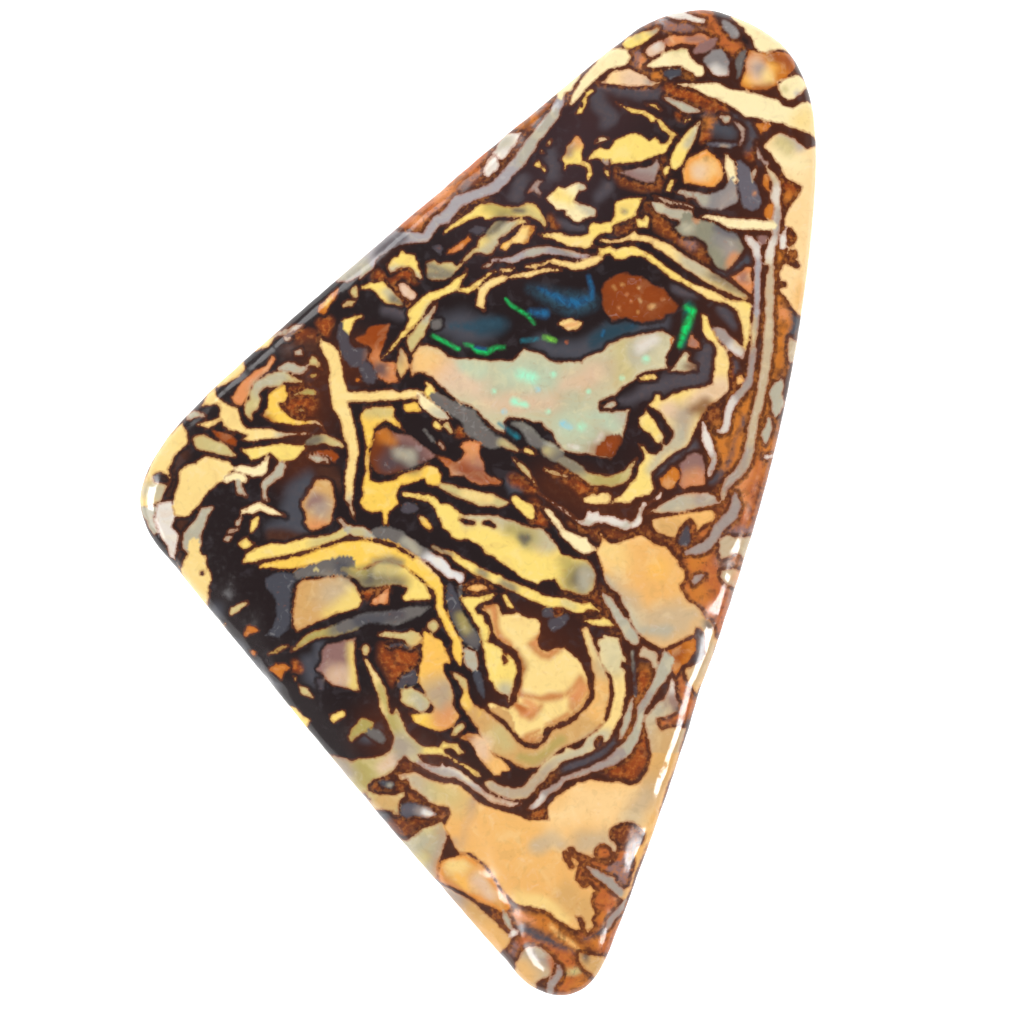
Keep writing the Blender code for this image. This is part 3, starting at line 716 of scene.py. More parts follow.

# %% [markdown]
# Peach and cream bodies fill the south, with thin brown lines between them. The pale sand body at the very
# tip is partly painted glare: its greyish paleness is the shine of the polish painted in.

# %% The south tip
# The sand body at the tip, near the end of this drawing, is partly painted glare.
draw("""
body cream 2,-62 6,2 4,0 2,-2 0,-4 6,0 5,1 5,-3 5,-1 3,-2 -2,-12 2,-4 4,-1 4,2 4,0 2,1 4,-5 4,-2 2,-3 1,-4
  2,-4 1,-5 0,-5 -3,-6 -8,-8 -5,-3 -7,-2 -3,-2 -1,-5 -5,-3 -5,0 -4,3 -6,9 -13,10 2,2 10,-4 6,5 0,4 2,4 0,6
  1,5 -3,10 -12,8 -2,4 -1,6 -2,4 -3,2
shade terracotta 4,-62,22 5,0,28 3,-5,25 0,-7,19 2,-6,22 6,-4,15
shade coral 10,-65,9 1,-5,7
shade rust 24,-87,20 2,-7 1,-5 -2,-7 0,-5,25
shade terracotta 36,-79,19 -4,-4 2,-5 3,-3 5,-1 5,4,22 3,1,12
shade coral 34,-83,15 9,-6
shade terracotta 25,-112,22 6,-1,19 6,-3 7,2,31 6,0,25 3,0,9 / 55,-112,19 2,3 5,5,25 2,-6,31 -4,-6,43
  -2,-6,31
shade coral 62,-109,37 -3,-6,31
shade terracotta 21,-120,19 5,-4,31 5,-2,25 4,3,19 3,3,12
shade coral 29,-118,31 4,-3,25 -7,-5,15
shade terracotta 23,-121,20 3,-2,18 / 36,-134,9 -8,-6,22 5,0 4,3,12 / 41,-131,12 7,1,15 6,4
seam tan 11,-132,110 3,-8,100 4,-4,75 11,-6 5,0,70 4,2,60 4,4,65 5,4 11,6,75 5,4,85 4,5,90 5,10,65 1,5,55
  0,5,50 -2,10,30 -7,20,20
vein bole 5,-122,10 12,-9,12 7,-9,13 5,-4 6,0,14 5,3 2,5,13 2,2,12 6,2 6,3 8,8 4,6,13 0,6 0,7,12 -2,6
shade khaki 12,-136,60 4,-7,50
shade olive 26,-151,30 7,-1 7,4,25 9,7,30
shade peach 73,-106,50 -1,-8,70 -3,-6 / 72,-124,40
shade cream 64,-78,40 3,-12
body cream 72,-81 3,1 -1,3 4,-2 6,-1 2,-7 1,-4 3,-4 -4,1 -1,-3 3,-3 0,-5 0,-10 -2,-10 -2,-5 -6,-10 -4,-4
  -9,-5 -15,-5 -15,-15 -5,-6 -10,-1 -10,4 -3,2 -3,4 3,2 8,-4 7,-1 5,1 14,16 4,3 5,1 3,3 3,-1 4,0 3,3 2,4 8,5
  6,8 2,13 -1,10 -7,8 -1,4 1,4 -2,4
shade milk 76,-84,80 4,-4,100 0,-6,90
shade ash 75,-138,50 -17,-11 -10,-4,40
shade lilac 42,-158,50 -14,-13,60 -10,-1 -9,4,50
vein sienna 73,-140,20 -1,-3,30
seam bone -36,-154,6 9,-4,20 10,-2,35 5,0,25 17,-13,15 5,-3,20 11,-3,15 5,1,5 / -21,-154,6 1,-4,22
shade lilac -33,-155,40 35,-16,30 8,-5 10,-3
seam lilac 30,-182,6 5,3,20 3,3,25 2,4,20 8,4,15 3,4 23,8,22 6,3,30 5,4,35
shade bone 35,-179,25 3,4
stain haze 82,-141,20 -9,-7,35 -8,-5 -10,-3 -7,-4,20
stain sienna 36,-171,25 5,5,30 5,4,20
stain rust 34,-184,25 5,0,30
body peach -10,-139 5,3 5,-1 4,-2 3,-3 1,-5 3,-3 4,-2 5,-6 -2,-1 -3,0 -1,-3 -4,1 -10,11 -2,5 -3,4
shade rust -8,-138,30 5,0,25
shade blush 2,-143,60 2,-6,40
seam smoke -64,-136,20 4,-2,30 3,-2,25 1,-2,6
body khaki -92,-150 17,-4 7,2 13,2 4,4 1,5 1,3 8,1 6,-6 3,-1 9,-1 3,3 4,0 4,-1 4,-5 -3,-1 -5,4 -4,-1 1,-2
  9,-6 4,-1 9,-7 -3,-1 -9,7 -9,5 -5,2 -20,-1 -4,-4 -2,-5 -3,-2 -10,-4 -3,-3 0,-3 3,-2 6,-1 7,0 5,2 1,-2
  -3,-3 -1,-4 1,-5 -3,0 -2,3 -5,0 -4,1 -3,6 -3,4 -5,1 -5,3
shade straw -30,-146,30 8,-1,40 8,3,50 2,-9,40 9,-6
shade lilac -45,-144,70 5,-3,50 -8,-5
shade blush -53,-154,50 -4,-3,40
shade olive -69,-157,60 2,-7,70
shade lilac -83,-154,60 4,-7
shade tan -56,-178,60 6,-1,50
stain sienna -61,-170,40 6,4,50 8,-1,70 4,7,50 1,6,40 8,2,25
seam slate -58,-166,8 3,-1,20 3,-1 2,0,8
shade ash -51,-168,16
stain sienna -40,-174,50 17,-8 3,-4,60 -9,-3,40
body slate -46,-186 1,6 4,2 5,-1 9,-3 3,-3 -4,-2 -10,1 -4,-2
shade flint -43,-183,40 6,2,30
shade lilac -34,-183,30 5,-1,35
shade white -30,-184,22 4,-1,20
stain rust -44,-190,25 5,0,35 6,1,25
stain sienna -49,-194,50 7,0,60 8,2,30
stain slate -60,-187,30 6,-1
stain lilac -71,-178,35 4,-2,30
body khaki -54,-207 5,4 7,1 10,8 5,2 6,2 2,-2 1,-3 0,-4 -5,-15 -1,-12 -2,-6 -10,6
shade lilac -20,-196,50 -2,-10 -4,-14
shade ash -32,-202,60 -11,-4,50
body peach -47,-162 8,2 3,0 5,-3 9,-3 6,0 6,-2 13,-11 8,-3 13,-3 6,-3 13,0 -1,4 0,4 2,3 8,7 8,4 3,0 4,2
  13,-2 6,0 5,-2 4,1 4,4 3,5 2,9 22,-1 -4,-20 -18,-46 -10,-20 -5,-2 -3,2 -7,-5 -6,2 -1,-3 -2,-3 -2,-3 2,-4
  -4,-4 -2,2 0,4 -2,4 -4,0 2,-4 2,-4 -4,0 -12,7 -2,3 -3,2 -9,2 -4,0 -6,2 -7,8 -9,14 -10,8 -3,0 -4,0 -9,16
  4,7 -1,4 -3,1 -4,0 -4,2 -3,3 -3,1 -2,3 -3,1 -3,6 -3,-1
shade ash -44,-163,30 7,-2,60 8,-7
shade khaki -26,-170,60 10,-4,80 8,-6
shade lilac -13,-202,40 4,-3,30 7,28,25
shade apricot 0,-195,160 14,-15,180 16,-12 20,4,120 10,-16,70
shade peach 14,-196,150 22,-12,100
shade sand 36,-204,50 8,6 6,-4,40
shade shell 50,-188,80 14,10,120 12,-2,140 10,6,80
shade cream 24,-235,40 12,-3,50 10,-4,40 6,-6,30
shade sand 63,-202,70 11,0,80 9,-6,60 11,22,70 12,20,60
shade tan 64,-240,80 2,-11,40 -12,17,80
vein terracotta 52,-208,12 2,-4,26 2,-4,15 / 56,-206,20 2,-3 5,-3,30 10,-4,38 6,-2,40 5,3,45 4,5,60 1,5 /
  74,-208,50 2,-1 / 65,-213,30 -3,-5 -1,-5,28 2,-4,20 3,0,12 / 64,-220,30 7,-5,45 7,-7,55 -1,-5,90 5,-3,50
vein sienna 84,-197,55 5,-1,85 4,-1,70 -4,-2,60
vein mauve 82,-219,40 6,-1,60 -1,-6,50 4,12,40
body ash 64,-215 16,-8 8,-9 -2,-4 -19,16
shade lilac 70,-219,40 8,-5 7,-8
stain terracotta 79,-242,50 -3,-5,60 -4,-4,50 -5,-7 9,-4,70 6,9,80 4,7,50
stain ember 75,-247,30 8,-3,40 -13,-12,30
seam lilac 90,-238,15 -4,-5,25 -5,-5 -3,-5,20 -1,-1,5
stain haze 76,-255,20 -6,-3,15 -6,-2,10
body ember -23,-229 -1,7 2,6 2,4 12,3 3,0 10,-8 3,-4 4,-7 9,-12 -1,-2 -6,-2 -5,3 -6,2 -13,8 -6,2
shade rust -22,-228,40 1,13,30 12,-15 11,-7 8,-4 -19,31,20 12,-6 13,-20,25
shade peach -15,-218,80 7,0,120 8,-6 5,-6,100 6,-7,60
shade cream -15,-217,50 5,1
shade amber -12,-224,30 6,-4
shade blush 2,-226,50 4,-7,40
shade honey -22,-226,15 0,9 4,5,14 11,2,12 8,-5 6,-6 7,-12 5,-7,10 / -21,-227,15 9,-3 27,-13,10
body tan -30,-233 9,2 4,-1 9,-3 6,-3 15,-14 7,-7 -1,-4 -2,-3 -3,-2 -2,-5 -6,-3 -16,20
shade lilac -18,-235,60 6,-2,50
shade peach 6,-258,80 6,-5,70
stain terracotta 13,-246,40 6,-4,60 5,-4 -2,-8,50
stain mauve 21,-260,40 1,-7 -3,14,30
seam ash 16,-244,12 2,-5,25 2,-4,12
seam bone 20,-258,15 2,2,25
stain ember 23,-244,40 7,-3,50 10,-3 7,-5 13,-13,30
stain peach 44,-252,12 12,-10,15 3,-4,6
stain coral 26,-246,25 7,-3
stain haze 23,-252,30 17,-8,45 15,-10,30
stain terracotta 26,-260,30 8,-1,20 9,-5,25 15,-10,40
body sand 22,-276 6,10 3,2 6,0 5,-4 3,-3 1,-5 -1,-4 -3,-3 -3,-1 -4,-2 -3,-7 -12,7
shade lilac 33,-268,40 7,-5
shade peach 26,-279,60 4,-5
shade terracotta 44,-272,25 1,-6
seam lilac 48,-276,12 1,-4,20 -5,-8,25 -2,-6,20
stain ember 52,-280,40 1,-9,90 6,-1,80 7,2,40
stain terracotta 52,-274,50 8,-4,30 -12,-14,40
stain khaki 54,-280,20 4,0,25
body tan 61,-268 18,-4 0,-3 -4,-8 -6,1 -9,9
shade haze 64,-271,30
""")
print("the south tip:", drawing.marks, "marks")

# %% [markdown]
# Small bodies crowd along the north-west edge, under a long grey arm.

# %% The north-west edge and the top of the basin
draw("""
seam lavender -84,134,15 5,1,35 12,8,60 4,4,35 4,4 11,7 12,0,30 5,0,28 7,10,34 5,2 8,10,36 11,4,32 11,4
  15,17,38 8,12,34 12,15 4,11,26
shade ash -82,136,40 7,4,50 7,4,40
shade haze -59,151,30 7,4,40 8,3,30
shade ash 26,204,40 10,16 10,12
seam ash -70,134,6 4,6,30
stain terracotta -44,165,40 8,4,60 9,7,70 7,8,80 7,6 8,9 7,7,50
stain coral -35,168,30 3,2,25 / -22,182,40 6,5 5,6,30
stain sienna -18,168,20 8,7,35 8,3 8,3,30 / -10,187,30 10,3,50 9,5,30 11,14,40 6,9,45 13,14,50 4,8
body straw -20,160 1,2 18,14 4,2 5,0 4,0 4,-2 9,0 4,2 4,0 3,-3 2,-3 2,-4 1,-4 -1,-1 -2,3 -7,4 -21,0 -5,-2
  -2,2 -5,0 -7,-4 -5,-2
shade olive 6,176,30 8,-2,50 6,-1,40
shade khaki 29,173,60 6,-3,50 5,-4,30
shade haze 24,174,25 3,-1,20
body straw -54,142 4,4 3,1 2,3 3,-2 5,0 1,-4 2,-7 1,-4 -3,1 -2,4 -3,2 -5,0 -6,-3
shade ash -51,139,25 17,-5
body khaki -30,143 4,1 4,-2 7,1 3,-3 5,6 2,2 3,3 2,1 0,2 2,4 3,1 4,6 3,2 6,0 8,1 5,-1 -7,-2 -4,-4 -5,-3
  -2,-2 0,-3 -3,-2 -1,-3 -3,-1 -4,1 -4,0 -14,-14 -4,-2 -6,0 -3,2 -1,4
shade smoke -28,135,30 8,-1 5,1,25 -15,6,20
shade haze 15,163,80 -4,-4,70 -1,-5,35
shade straw 4,153,40 4,2,25 18,12,20
shade ash 4,150,30 17,15
body ember -18,148 4,0 4,2 6,6 -1,2 -12,-8
shade coral -14,150,25 4,2
seam haze -26,152,8 3,-1,22 1,-3,6 / -4,162,6 4,0,25 4,1,10
body straw -56,86 13,17 3,6 -1,4 2,3 6,6 4,3 9,2 3,2 5,5 3,1 3,5 0,-4 -3,-4 -2,-5 7,1 10,8 4,2 2,-1 -3,-1
  -5,-4 -6,-6 -3,-2 -7,2 -15,-7 -5,-8 -18,-20
seam cream 14,138,6 5,0,12 3,1,4 / 29,140,8 5,0,15 7,2,4 / 41,143,6 5,0,15 12,-3,20 5,1,25 5,2,30 4,2,20 /
  4,114,6 -2,4,22 1,6,28 3,5,22 9,4 3,1,6 / 19,134,6 11,1,15 6,2,10 6,1,12 8,0,4
seam lavender 9,144,10 12,0,18 9,4,25 12,2,24 7,-1,22 12,-3,16 9,1,4
shade ash 32,149,40 7,2,30
shade pewter 46,150,20 8,-2,25
seam ash 4,140,6 3,1,12 2,1,4
body amber 14,151 3,-1 4,4 9,0 5,10 -4,1 -5,-1 -3,-6 -8,-4
shade cream 25,157,40 3,4 -9,-7,20
shade rust 34,164,20 -2,-5,10 -3,-5,12
body straw 36,159 3,1 4,0 6,0 1,-1 10,-1 7,2 -1,3 3,3 8,0 3,0 2,9 0,3 4,2 4,1 10,0 -3,-2 -1,-4 -2,-2 0,-3
  -3,-2 -9,-2 -2,-2 0,-3 -2,-1 -5,-1 -3,-2 -2,-3 1,-2 -4,-1 -10,1 -10,4
shade cream 44,158,40 10,-2,50 10,-2,40
shade smoke 87,174,14 1,0
body straw 94,169 1,-5 3,-1 3,0 1,3 0,3 -2,1 -1,-3
body sienna 75,122 -1,4 2,4 3,3 4,2 6,1 6,-2 5,-2 7,-4 3,-1 8,-9 1,-2 -2,-3 -5,-1 -2,-3 -12,-2 -10,3 -8,-2
  -3,3 -2,3 -1,4
shade rust 82,128,100 13,-5,160 10,-4,120 -17,-1,140
shade peach 82,128,5 / 86,130,5
shade coral 89,124,6
shade peach 95,128,5
shade coral 92,119,6
shade peach 98,120,5
shade coral 83,115,6
shade peach 104,116,10
shade coral 109,120,6
shade peach 96,113,5
body cream 48,106 4,3 4,0 6,-2 -1,-3 -3,-2 -4,0
shade coral 52,105,12 4,1 4,0,10
body bone 9,210 7,12 10,-1 -3,-7 -3,-3 -4,-6 -2,0 -3,3 1,-3 1,-4 -1,-3 -6,-4 -2,2 0,4 2,4 3,3
shade ash 17,217,50 -5,-4,30
stain terracotta 1,201,35 2,6,30 4,5,20
stain ember 23,226,30 10,5,40
stain terracotta 37,236,40 7,10,50
stain haze 23,183,40 2,5,50 3,4,30 / 45,194,40 1,6 -3,7
body lilac 30,184 4,2 3,-4 1,2 -2,4 3,3 -3,1 -3,-3
shade rust 32,184,25 2,-1,15
body straw 34,201 2,3 2,-3 3,-3 -1,-2 -2,3
body khaki 38,208 0,2 2,-2 -2,0
seam khaki 42,213,4 2,3
body straw 50,204 2,4 2,5 4,5 2,0 4,-5 -2,-6 1,-4 3,-1 2,-3 0,-4 -2,-4 -1,2 1,4 -2,3 -10,1 -2,-3 0,4
shade mauve 54,210,40 2,2,30
shade coral 59,216,35 2,-2
body ivory 41,181 7,7 2,0 2,-1 6,3 3,0 3,-1 1,-3 -2,-1 -2,0 -4,-6 1,-1 9,-2 3,-2 0,-4 -3,0 -7,-4 -3,1 -2,3
  -3,1 1,2 -3,1 -3,0
shade straw 48,183,60 6,-4,40
shade ash 63,188,35 6,-16 -9,5,20
stain haze 48,167,20 8,-4,25 7,0,20
stain sienna 43,169,25 3,-5,30
body straw 66,204 3,5 4,2 5,-1 4,5 8,4 4,1 8,-5 4,2 3,-4 3,0 2,2 0,3 -5,5 -3,5 3,0 7,-8 3,-1 -3,-3 -4,-8
  -7,-2 -4,-2 -5,-2 -16,-1 -1,3 -5,0 -4,1
body lilac 74,204 4,0 1,-3 -3,-1
body ivory 70,214 4,4 4,-2 -4,-2
seam straw 75,198,5 2,-2,15 1,-3,5 / 83,238,4 9,-5,12 7,-1 3,-2,10 2,-2,20 1,0,6 / 100,237,4 5,-1,8 4,-3,4
body lilac 85,196 18,4 4,4 1,-4 -3,-10 -5,0 -5,2
shade mauve 90,196,30 12,-4
stain sienna 82,196,30 6,-5,35 10,-3,30 10,1,40 2,7 0,9,30
stain haze 72,182,30 5,6,40 / 76,226,35 3,3,40 -5,6
stain sienna 83,162,40 7,1,50 6,8,20
body khaki -76,126 2,2 2,1 1,-3 0,-3 -2,-2
seam khaki -79,118,12 3,1,20 3,1,5
body ember -95,114 1,4 3,2 3,5 5,3 -1,-5 -4,-5 -3,-6
shade gold -90,119,25 1,2,20
seam straw -68,128,12 5,1,20 5,-1,40 6,-6 7,-4,10
shade ash -53,125,30 2,-3
shade haze -49,120,35 4,-2,30
body blush -47,130 3,1 4,-3 4,-5 -1,-3 -3,0 -4,3 -2,3
stain rust -49,132,30 5,5,40 6,-2 / -48,127,20 4,-6 5,-4,25 / -59,134,40 4,-4,25
stain haze -55,114,30 5,0,40 5,-3
body straw -80,108 1,2 10,2 1,-2 -4,-1 -2,-3 -1,-4 -2,-2 -3,3
seam ash -123,98,6 14,6,15 5,2,5
seam khaki -39,90,6 1,6,35 3,4 11,18,4
shade ash -30,110,30 4,5
seam smoke -26,104,12 2,2,28 2,2,6
""")
print("the north-west edge and the top of the basin:", drawing.marks, "marks")

# %% [markdown]
# Pale bodies lie round the north corner, with rusty rock between them and a cream body down the
# east edge.

# %% The north-east corner
draw("""
seam cream 73,156,5 5,-1,10 6,0 6,2,12 3,1,25
body cream 92,158 6,1 5,-1 11,-5 4,-3 22,-13 22,-15 0,-1 -9,2 -12,5 -12,7 -27,19 -10,2
shade ash 125,144,60 7,-5,70
shade haze 142,133,60 8,-5 9,-4,40
body straw 72,148 0,3 7,1 3,-2 5,2 6,0 9,-4 9,-7 17,-11 12,-4 12,-6 6,0 4,-1 1,-2 -1,-17 -1,-5 -2,-4 -1,3
  0,6 -3,14 -3,2 -4,2 -11,3 -17,10 -5,2 -9,8 -8,5 -5,1 -5,-2 -6,-1 -3,4 -3,-1 -3,-1
shade cream 134,125,60 16,-6 9,-9 1,-12,50
stain haze 145,116,25 5,-6,30 2,-5,20 / 118,128,30 12,-4,25
body coral 150,134 5,2 5,4 3,0 0,-6 1,-7 -1,-3
shade mauve 159,134,35
stain slate 144,138,25 6,-1,30 11,8
seam lavender 160,158,12 2,-2,26 4,-4 1,-10,20 -1,-29
shade bone 162,156,40 4,-6
seam sand 172,200,6 6,-9,25 0,-5,30 -1,-4 1,-3,20 1,-4,25 -2,-18 -2,-4,28 -1,-4,30 0,-9,26 0,-30,28
shade bone 178,186,35 0,-5,30 -4,-33,50 1,5,35
shade lilac 179,172,40 -1,-10
vein umber 172,140,15 0,-2,12
body ivory 133,170 3,1 6,-1 28,-2 6,0 2,-3 -2,-3 -7,0 -21,1 -8,5
seam ash 104,178,8 4,-3,30 6,-3 10,-2,40 / 105,182,6 10,-4,12 7,-1,8 6,-2,4
body moss 122,172 4,0 4,-4 10,-2 9,-5 5,-1 4,-8 -1,-4 -5,-7 -4,-3 -6,2 -2,5 -3,4 -1,5 -6,4 -8,0 -5,5 3,3
shade ash 124,163,35
shade pewter 145,156,50
shade flint 152,158,30 -10,5,25
shade lilac 150,150,50
shade coral 153,146,25 -3,-4 / 129,168,15
stain brick 101,177,25 5,-7,40 4,-6 10,-9,35 7,-2,40 5,-4,50 3,-5,20
stain mauve 124,155,30 4,-2
body peach 123,190 -1,6 3,9 7,3 4,2 8,-6 2,-8 -1,-4 -3,-4 -4,-1 -13,3
shade blush 132,197,50
shade honey 124,192,16 0,8,14 4,5 8,3,18 6,-3,24 2,-6,20 0,-6,16 -6,-4,20 -8,1,18 -6,2,16
shade sienna 136,204,10
seam ivory 148,206,12 2,-5,30 2,-8
body pewter 118,184 3,2 17,-3 4,1 4,2 3,3 1,3 2,2 1,-4 2,-9 -2,-3 -9,-4 -5,0 -5,1 -5,6 -4,0 -3,2
shade ash 120,184,40 14,-3
shade lilac 151,183,40 -5,-6,30
seam straw 132,226,8 -6,-9,35 -6,-10,40 -2,-4 -1,-3,20
shade ash 130,223,30 -5,-9
body straw 111,193 0,5 2,2 1,-1 -2,-6 / 112,185 1,4 2,3 3,0 -4,-7
body flint 137,213 5,1 12,-1 -4,-2 -10,1
shade ash 146,212,15 3,0,10
seam flint 156,202,15 2,-5,42 5,-17,60 0,-2,35
shade coral 165,184,12
seam ash 166,200,6 -2,-5,15 0,-4,5
body ember 171,195 2,-1 1,-4 0,-4 -2,0 -2,4 / 171,174 2,3 3,1 1,-3 -1,-4 -2,-3 -3,2
body mauve 166,159 7,0 -2,-5 -3,0
body shell 170,212 6,7 4,2 8,-3 8,-7 6,2 10,-8 -3,-45 -5,-35 -5,-15 -7,2 -6,7 -6,8 0,5 0,5 2,4 3,4 -1,3 2,4
  5,6 -1,3 -3,3 -4,1 0,4 4,9 4,5 3,5 -2,2 -4,2 -4,1 -2,3 -2,5 -3,4
shade ivory 182,206,100 8,-4,80
shade lavender 181,219,25 7,-4,35 5,-3,30
shade khaki 180,215,40 6,-4
shade peach 194,130,40 -2,-11
vein sienna 188,148,30 -2,-4,25 4,-2
vein umber 181,130,22 1,0,20
seam bone 184,164,6 -2,-6,25 0,-5,22
stain rust 185,161,30 3,-4,40 -3,-6,30
stain ember 179,150,35 -1,-16,25 / 178,123,40 3,-10,80 -1,-10,70
stain coral 183,113,40
stain slate 187,118,20 4,-5,30 -1,-8 -4,-7
body sand 186,99 10,-3 -3,-12 -7,0 -1,5
stain rust 183,190,40 5,-3,50 -3,-6
stain ember 186,183,30
body straw 87,275 3,3 5,2 14,4 -1,-4 -6,-4 -9,-5 -4,0
shade khaki 96,278,30
shade lilac 107,282,40
stain mauve 109,287,50 7,-1,60 16,-2,35
stain lavender 111,289,30
stain sienna 92,281,15 10,5,30 6,4,20
body bone 113,292 3,7 7,0 3,-6 3,-2 7,-3 -1,-2 -4,0 -4,1 -3,2 -4,-1
stain terracotta 127,294,30 7,-2,40 4,-3,45 3,-4,40 2,-5 3,-4,45 8,-5,30 / 149,278,30 5,-4
stain ironstone 146,291,40 7,-8 9,-8
seam pewter 146,288,6 3,-3,25 4,-5,30 1,-2,8
body ivory 149,293 2,-4 7,-5 6,-8 1,-4 3,-3 4,-1 4,1 4,2 6,-1 10,0 -11,16 -20,10 -15,4
body ember 162,270 8,-2 15,2 3,-2 2,-4 0,-4 -5,-6 -3,-2 -5,-4 -4,-2 -6,0 -6,0 -4,2 -1,2 4,8 0,5
shade amber 161,252,40 11,-1 4,8
shade blush 166,261,50 2,-5,60
shade lilac 168,258,35
shade cream 173,253,40
shade rust 177,266,35 8,-1 2,-5,25 / 166,247,20 8,1,25
body ivory 179,249 1,2 10,5 3,0 3,-3 2,-3 -2,-3 -7,-6 -4,-1 -3,2 -2,3
shade khaki 184,246,20
shade lavender 192,244,20
body ivory 118,249 19,1 5,0 10,-4 17,-3 10,-3 2,-3 4,-1 3,0 9,4 13,2 2,-24 -9,-2 -2,3 -3,2 -6,1 -10,4 -23,4
  -8,6 -4,2 -23,10
shade cream 195,228,80 5,5,60
body ivory 100,260 12,9 5,1 5,1 4,-1 0,-3 2,-3 3,-3 3,-1 1,-4 -1,-2 -4,0 -9,6 -16,-1
shade khaki 113,269,20 9,1
body blush 100,270 2,2 8,4 2,-3 0,-3 -7,-4 -3,0 -2,2
shade bone 107,272,20
body coral 111,276 4,3 12,-1 6,2 7,-3 -8,-4 -5,0 -6,1 -6,-2 -3,1
shade mauve 112,275,30 / 126,276,25 8,0,20
seam mauve 130,269,15 4,2,30 5,3 3,2,10
body pewter 134,263 2,3 4,3 5,1 3,-3 2,-4 0,-5 0,-4 -9,0 -4,6
shade bone 142,256,40 4,-1,30
body smoke 154,252 1,4 -1,5 0,4 3,4 3,1 0,-2 -3,-10 -1,-5
body slate 111,256 5,2 5,0 0,-3 -6,-3
stain ember 124,256,30 4,-2,20 / 106,254,35 3,-2,25
body shell 71,250 5,2 3,4 3,2 4,0 5,1 10,-5 2,-3 6,-1 -5,-2 -14,0
shade blush 92,253,70 6,-2,60
shade lilac 103,250,30 / 74,250,20
stain mauve 72,249,15 23,-3,20 13,1
stain haze 77,248,20 8,-3,30 20,-3 15,-4,35 20,-8 10,-1 9,1,20
seam ash 111,241,10 14,-7,28 7,-1,6 / 145,230,12 3,-2,25 2,0,8
stain rust 116,244,40 18,-5,50 10,-3,40
body straw 123,225 0,3 4,0 -2,-2
stain ember 138,225,45
stain rust 136,218,30 / 122,231,30 / 164,207,30
body ember 165,226 10,-1 -2,-3 -4,-2 -2,2
stain slate 144,222,50 4,-1
seam lilac 154,226,8 4,-5,12 0,-5,10 -2,-3,4 / 166,214,4 2,-9,10
stain haze 162,226,20 3,-6,30 -1,-5 -2,-5,20
seam lilac 170,203,6 2,-1,12
body ivory 43,241 4,2 2,-3 2,1 1,3 4,2 4,8 1,6 -11,-4 -9,-8
stain sienna 53,243,30 5,5,25 4,6,30 11,12 6,5,25
seam ivory 56,238,8 3,5,25 4,6,30 4,5,35 9,9,50 5,3,65 4,0,60 3,0,35
body straw 59,232 6,13 3,1 1,0 -3,-4 -2,-7 -2,-3
vein ironstone 62,236,10 0,2,12
stain mauve 54,242,30
stain haze 70,244,50 8,-15,40
stain lilac 83,273,30 / 35,236,25 3,2,20
stain mauve 92,268,60 4,-5 2,-3,40
stain coral 99,264,20 -1,-5
""")
print("the north-east corner:", drawing.marks, "marks")

# %% [markdown]
# Precious opal sends back pure colours: green and blue in the dark bowl above the basin, and pale
# green and blue in the milk. The flashes are drawn last, over all that is there.

# %% Fire in the opal
draw("""
vein bole -130,-35,8 12,2,10 14,3 24,8 11,1 12,-2 10,-3 9,-6
shade tan 113,-136,80 -2,-14,90 -4,-12,80
stain rust 99,-140,45 -2,-12,50 -7,-9,40 -9,1,30 -7,3,20
vein rust 123,-147,8 -11,-36,18 -21,-58,22
vein bole -176,51,8 -10,-10,14 -7,-9,18 -5,-9,16 -4,-11,10
vein black -202,-8,12 4,-10,28 7,-11,32 7,-12,28 8,-9,10
shade petal 6,59,50 18,0,60 18,3 / 54,70,50 14,6,60
shade dew 20,77,70 18,-4,90 / 52,45,60 13,2 / 75,50,50 6,-4,40 / 2,79,50 -10,3,40
shade bone 98,92,35 6,4,30
flash steel -15,105,15 15,-1,30 12,3,20 / 32,127,20 12,-5,50 12,-4,70 10,1,50
flash ocean 37,127,6 14,-7,22 7,-2,25 6,2,20 / 66,134,10 2,-7,12 0,-6,10 / 32,113,15 8,-1,25 / 74,99,5 1,3,6
  / 92,105,4
flash green -26,99,6 15,-8,8 / -7,94,5 4,-1,7 3,-3,10 6,-1,13 5,3,8 5,0,5
flash ocean -1,92,7 6,-1
flash teal 27,96,10 9,1,8
flash lime 40,98,11 6,-2,9
flash orange 53,95,6
flash green 17,121,3 3,-4,6 10,-6 4,-5,4
flash teal 13,47,8 11,-8,12
flash pine 126,116,32 -1,-10,26 -4,-12,20
flash green 124,116,10 4,-2,16 -4,-10,20 -4,-11,6
flash mint 26,76,30 7,-2 / 45,76,15 / 10,66,12 / 22,60,22 7,-2,15 / 42,54,12 / 62,45,22 / 66,66,12 /
  100,85,20 / 86,74,12
flash sky 51,47,18 4,-2,12 / 16,54,12 / 36,67,12
""")
print("fire in the opal:", drawing.marks, "marks")

# %% [markdown]
# A mesh carries the drawing as attributes, one value or colour for each of its points. Blender
# blends them across every triangle, and a material reads them by their names.

# %% Keep the drawing on the mesh
def keep_colour(mesh, name, colours):
    layer = mesh.attributes.new(name, "FLOAT_COLOR", "POINT")
    layer.data.foreach_set("color", np.column_stack([colours, np.ones(len(colours))]).ravel())


def keep_value(mesh, name, values):
    layer = mesh.attributes.new(name, "FLOAT", "POINT")
    layer.data.foreach_set("value", values)


for name in ("opal", "rock", "rim", "fire_colour"):
    keep_colour(opal.data, name, getattr(drawing, name))
for name in ("depth", "fire"):
    keep_value(opal.data, name, getattr(drawing, name))
print("attributes:", [layer.name for layer in opal.data.attributes if layer.domain == "POINT"])

# %% [markdown]
# Materials are sums: this much of one colour, so much rougher where the rock shows. Written as
# nodes, each sign of such a sum is a Math node. A small class lets Python's own signs add them, so
# a mask can be written as 1 - mask.

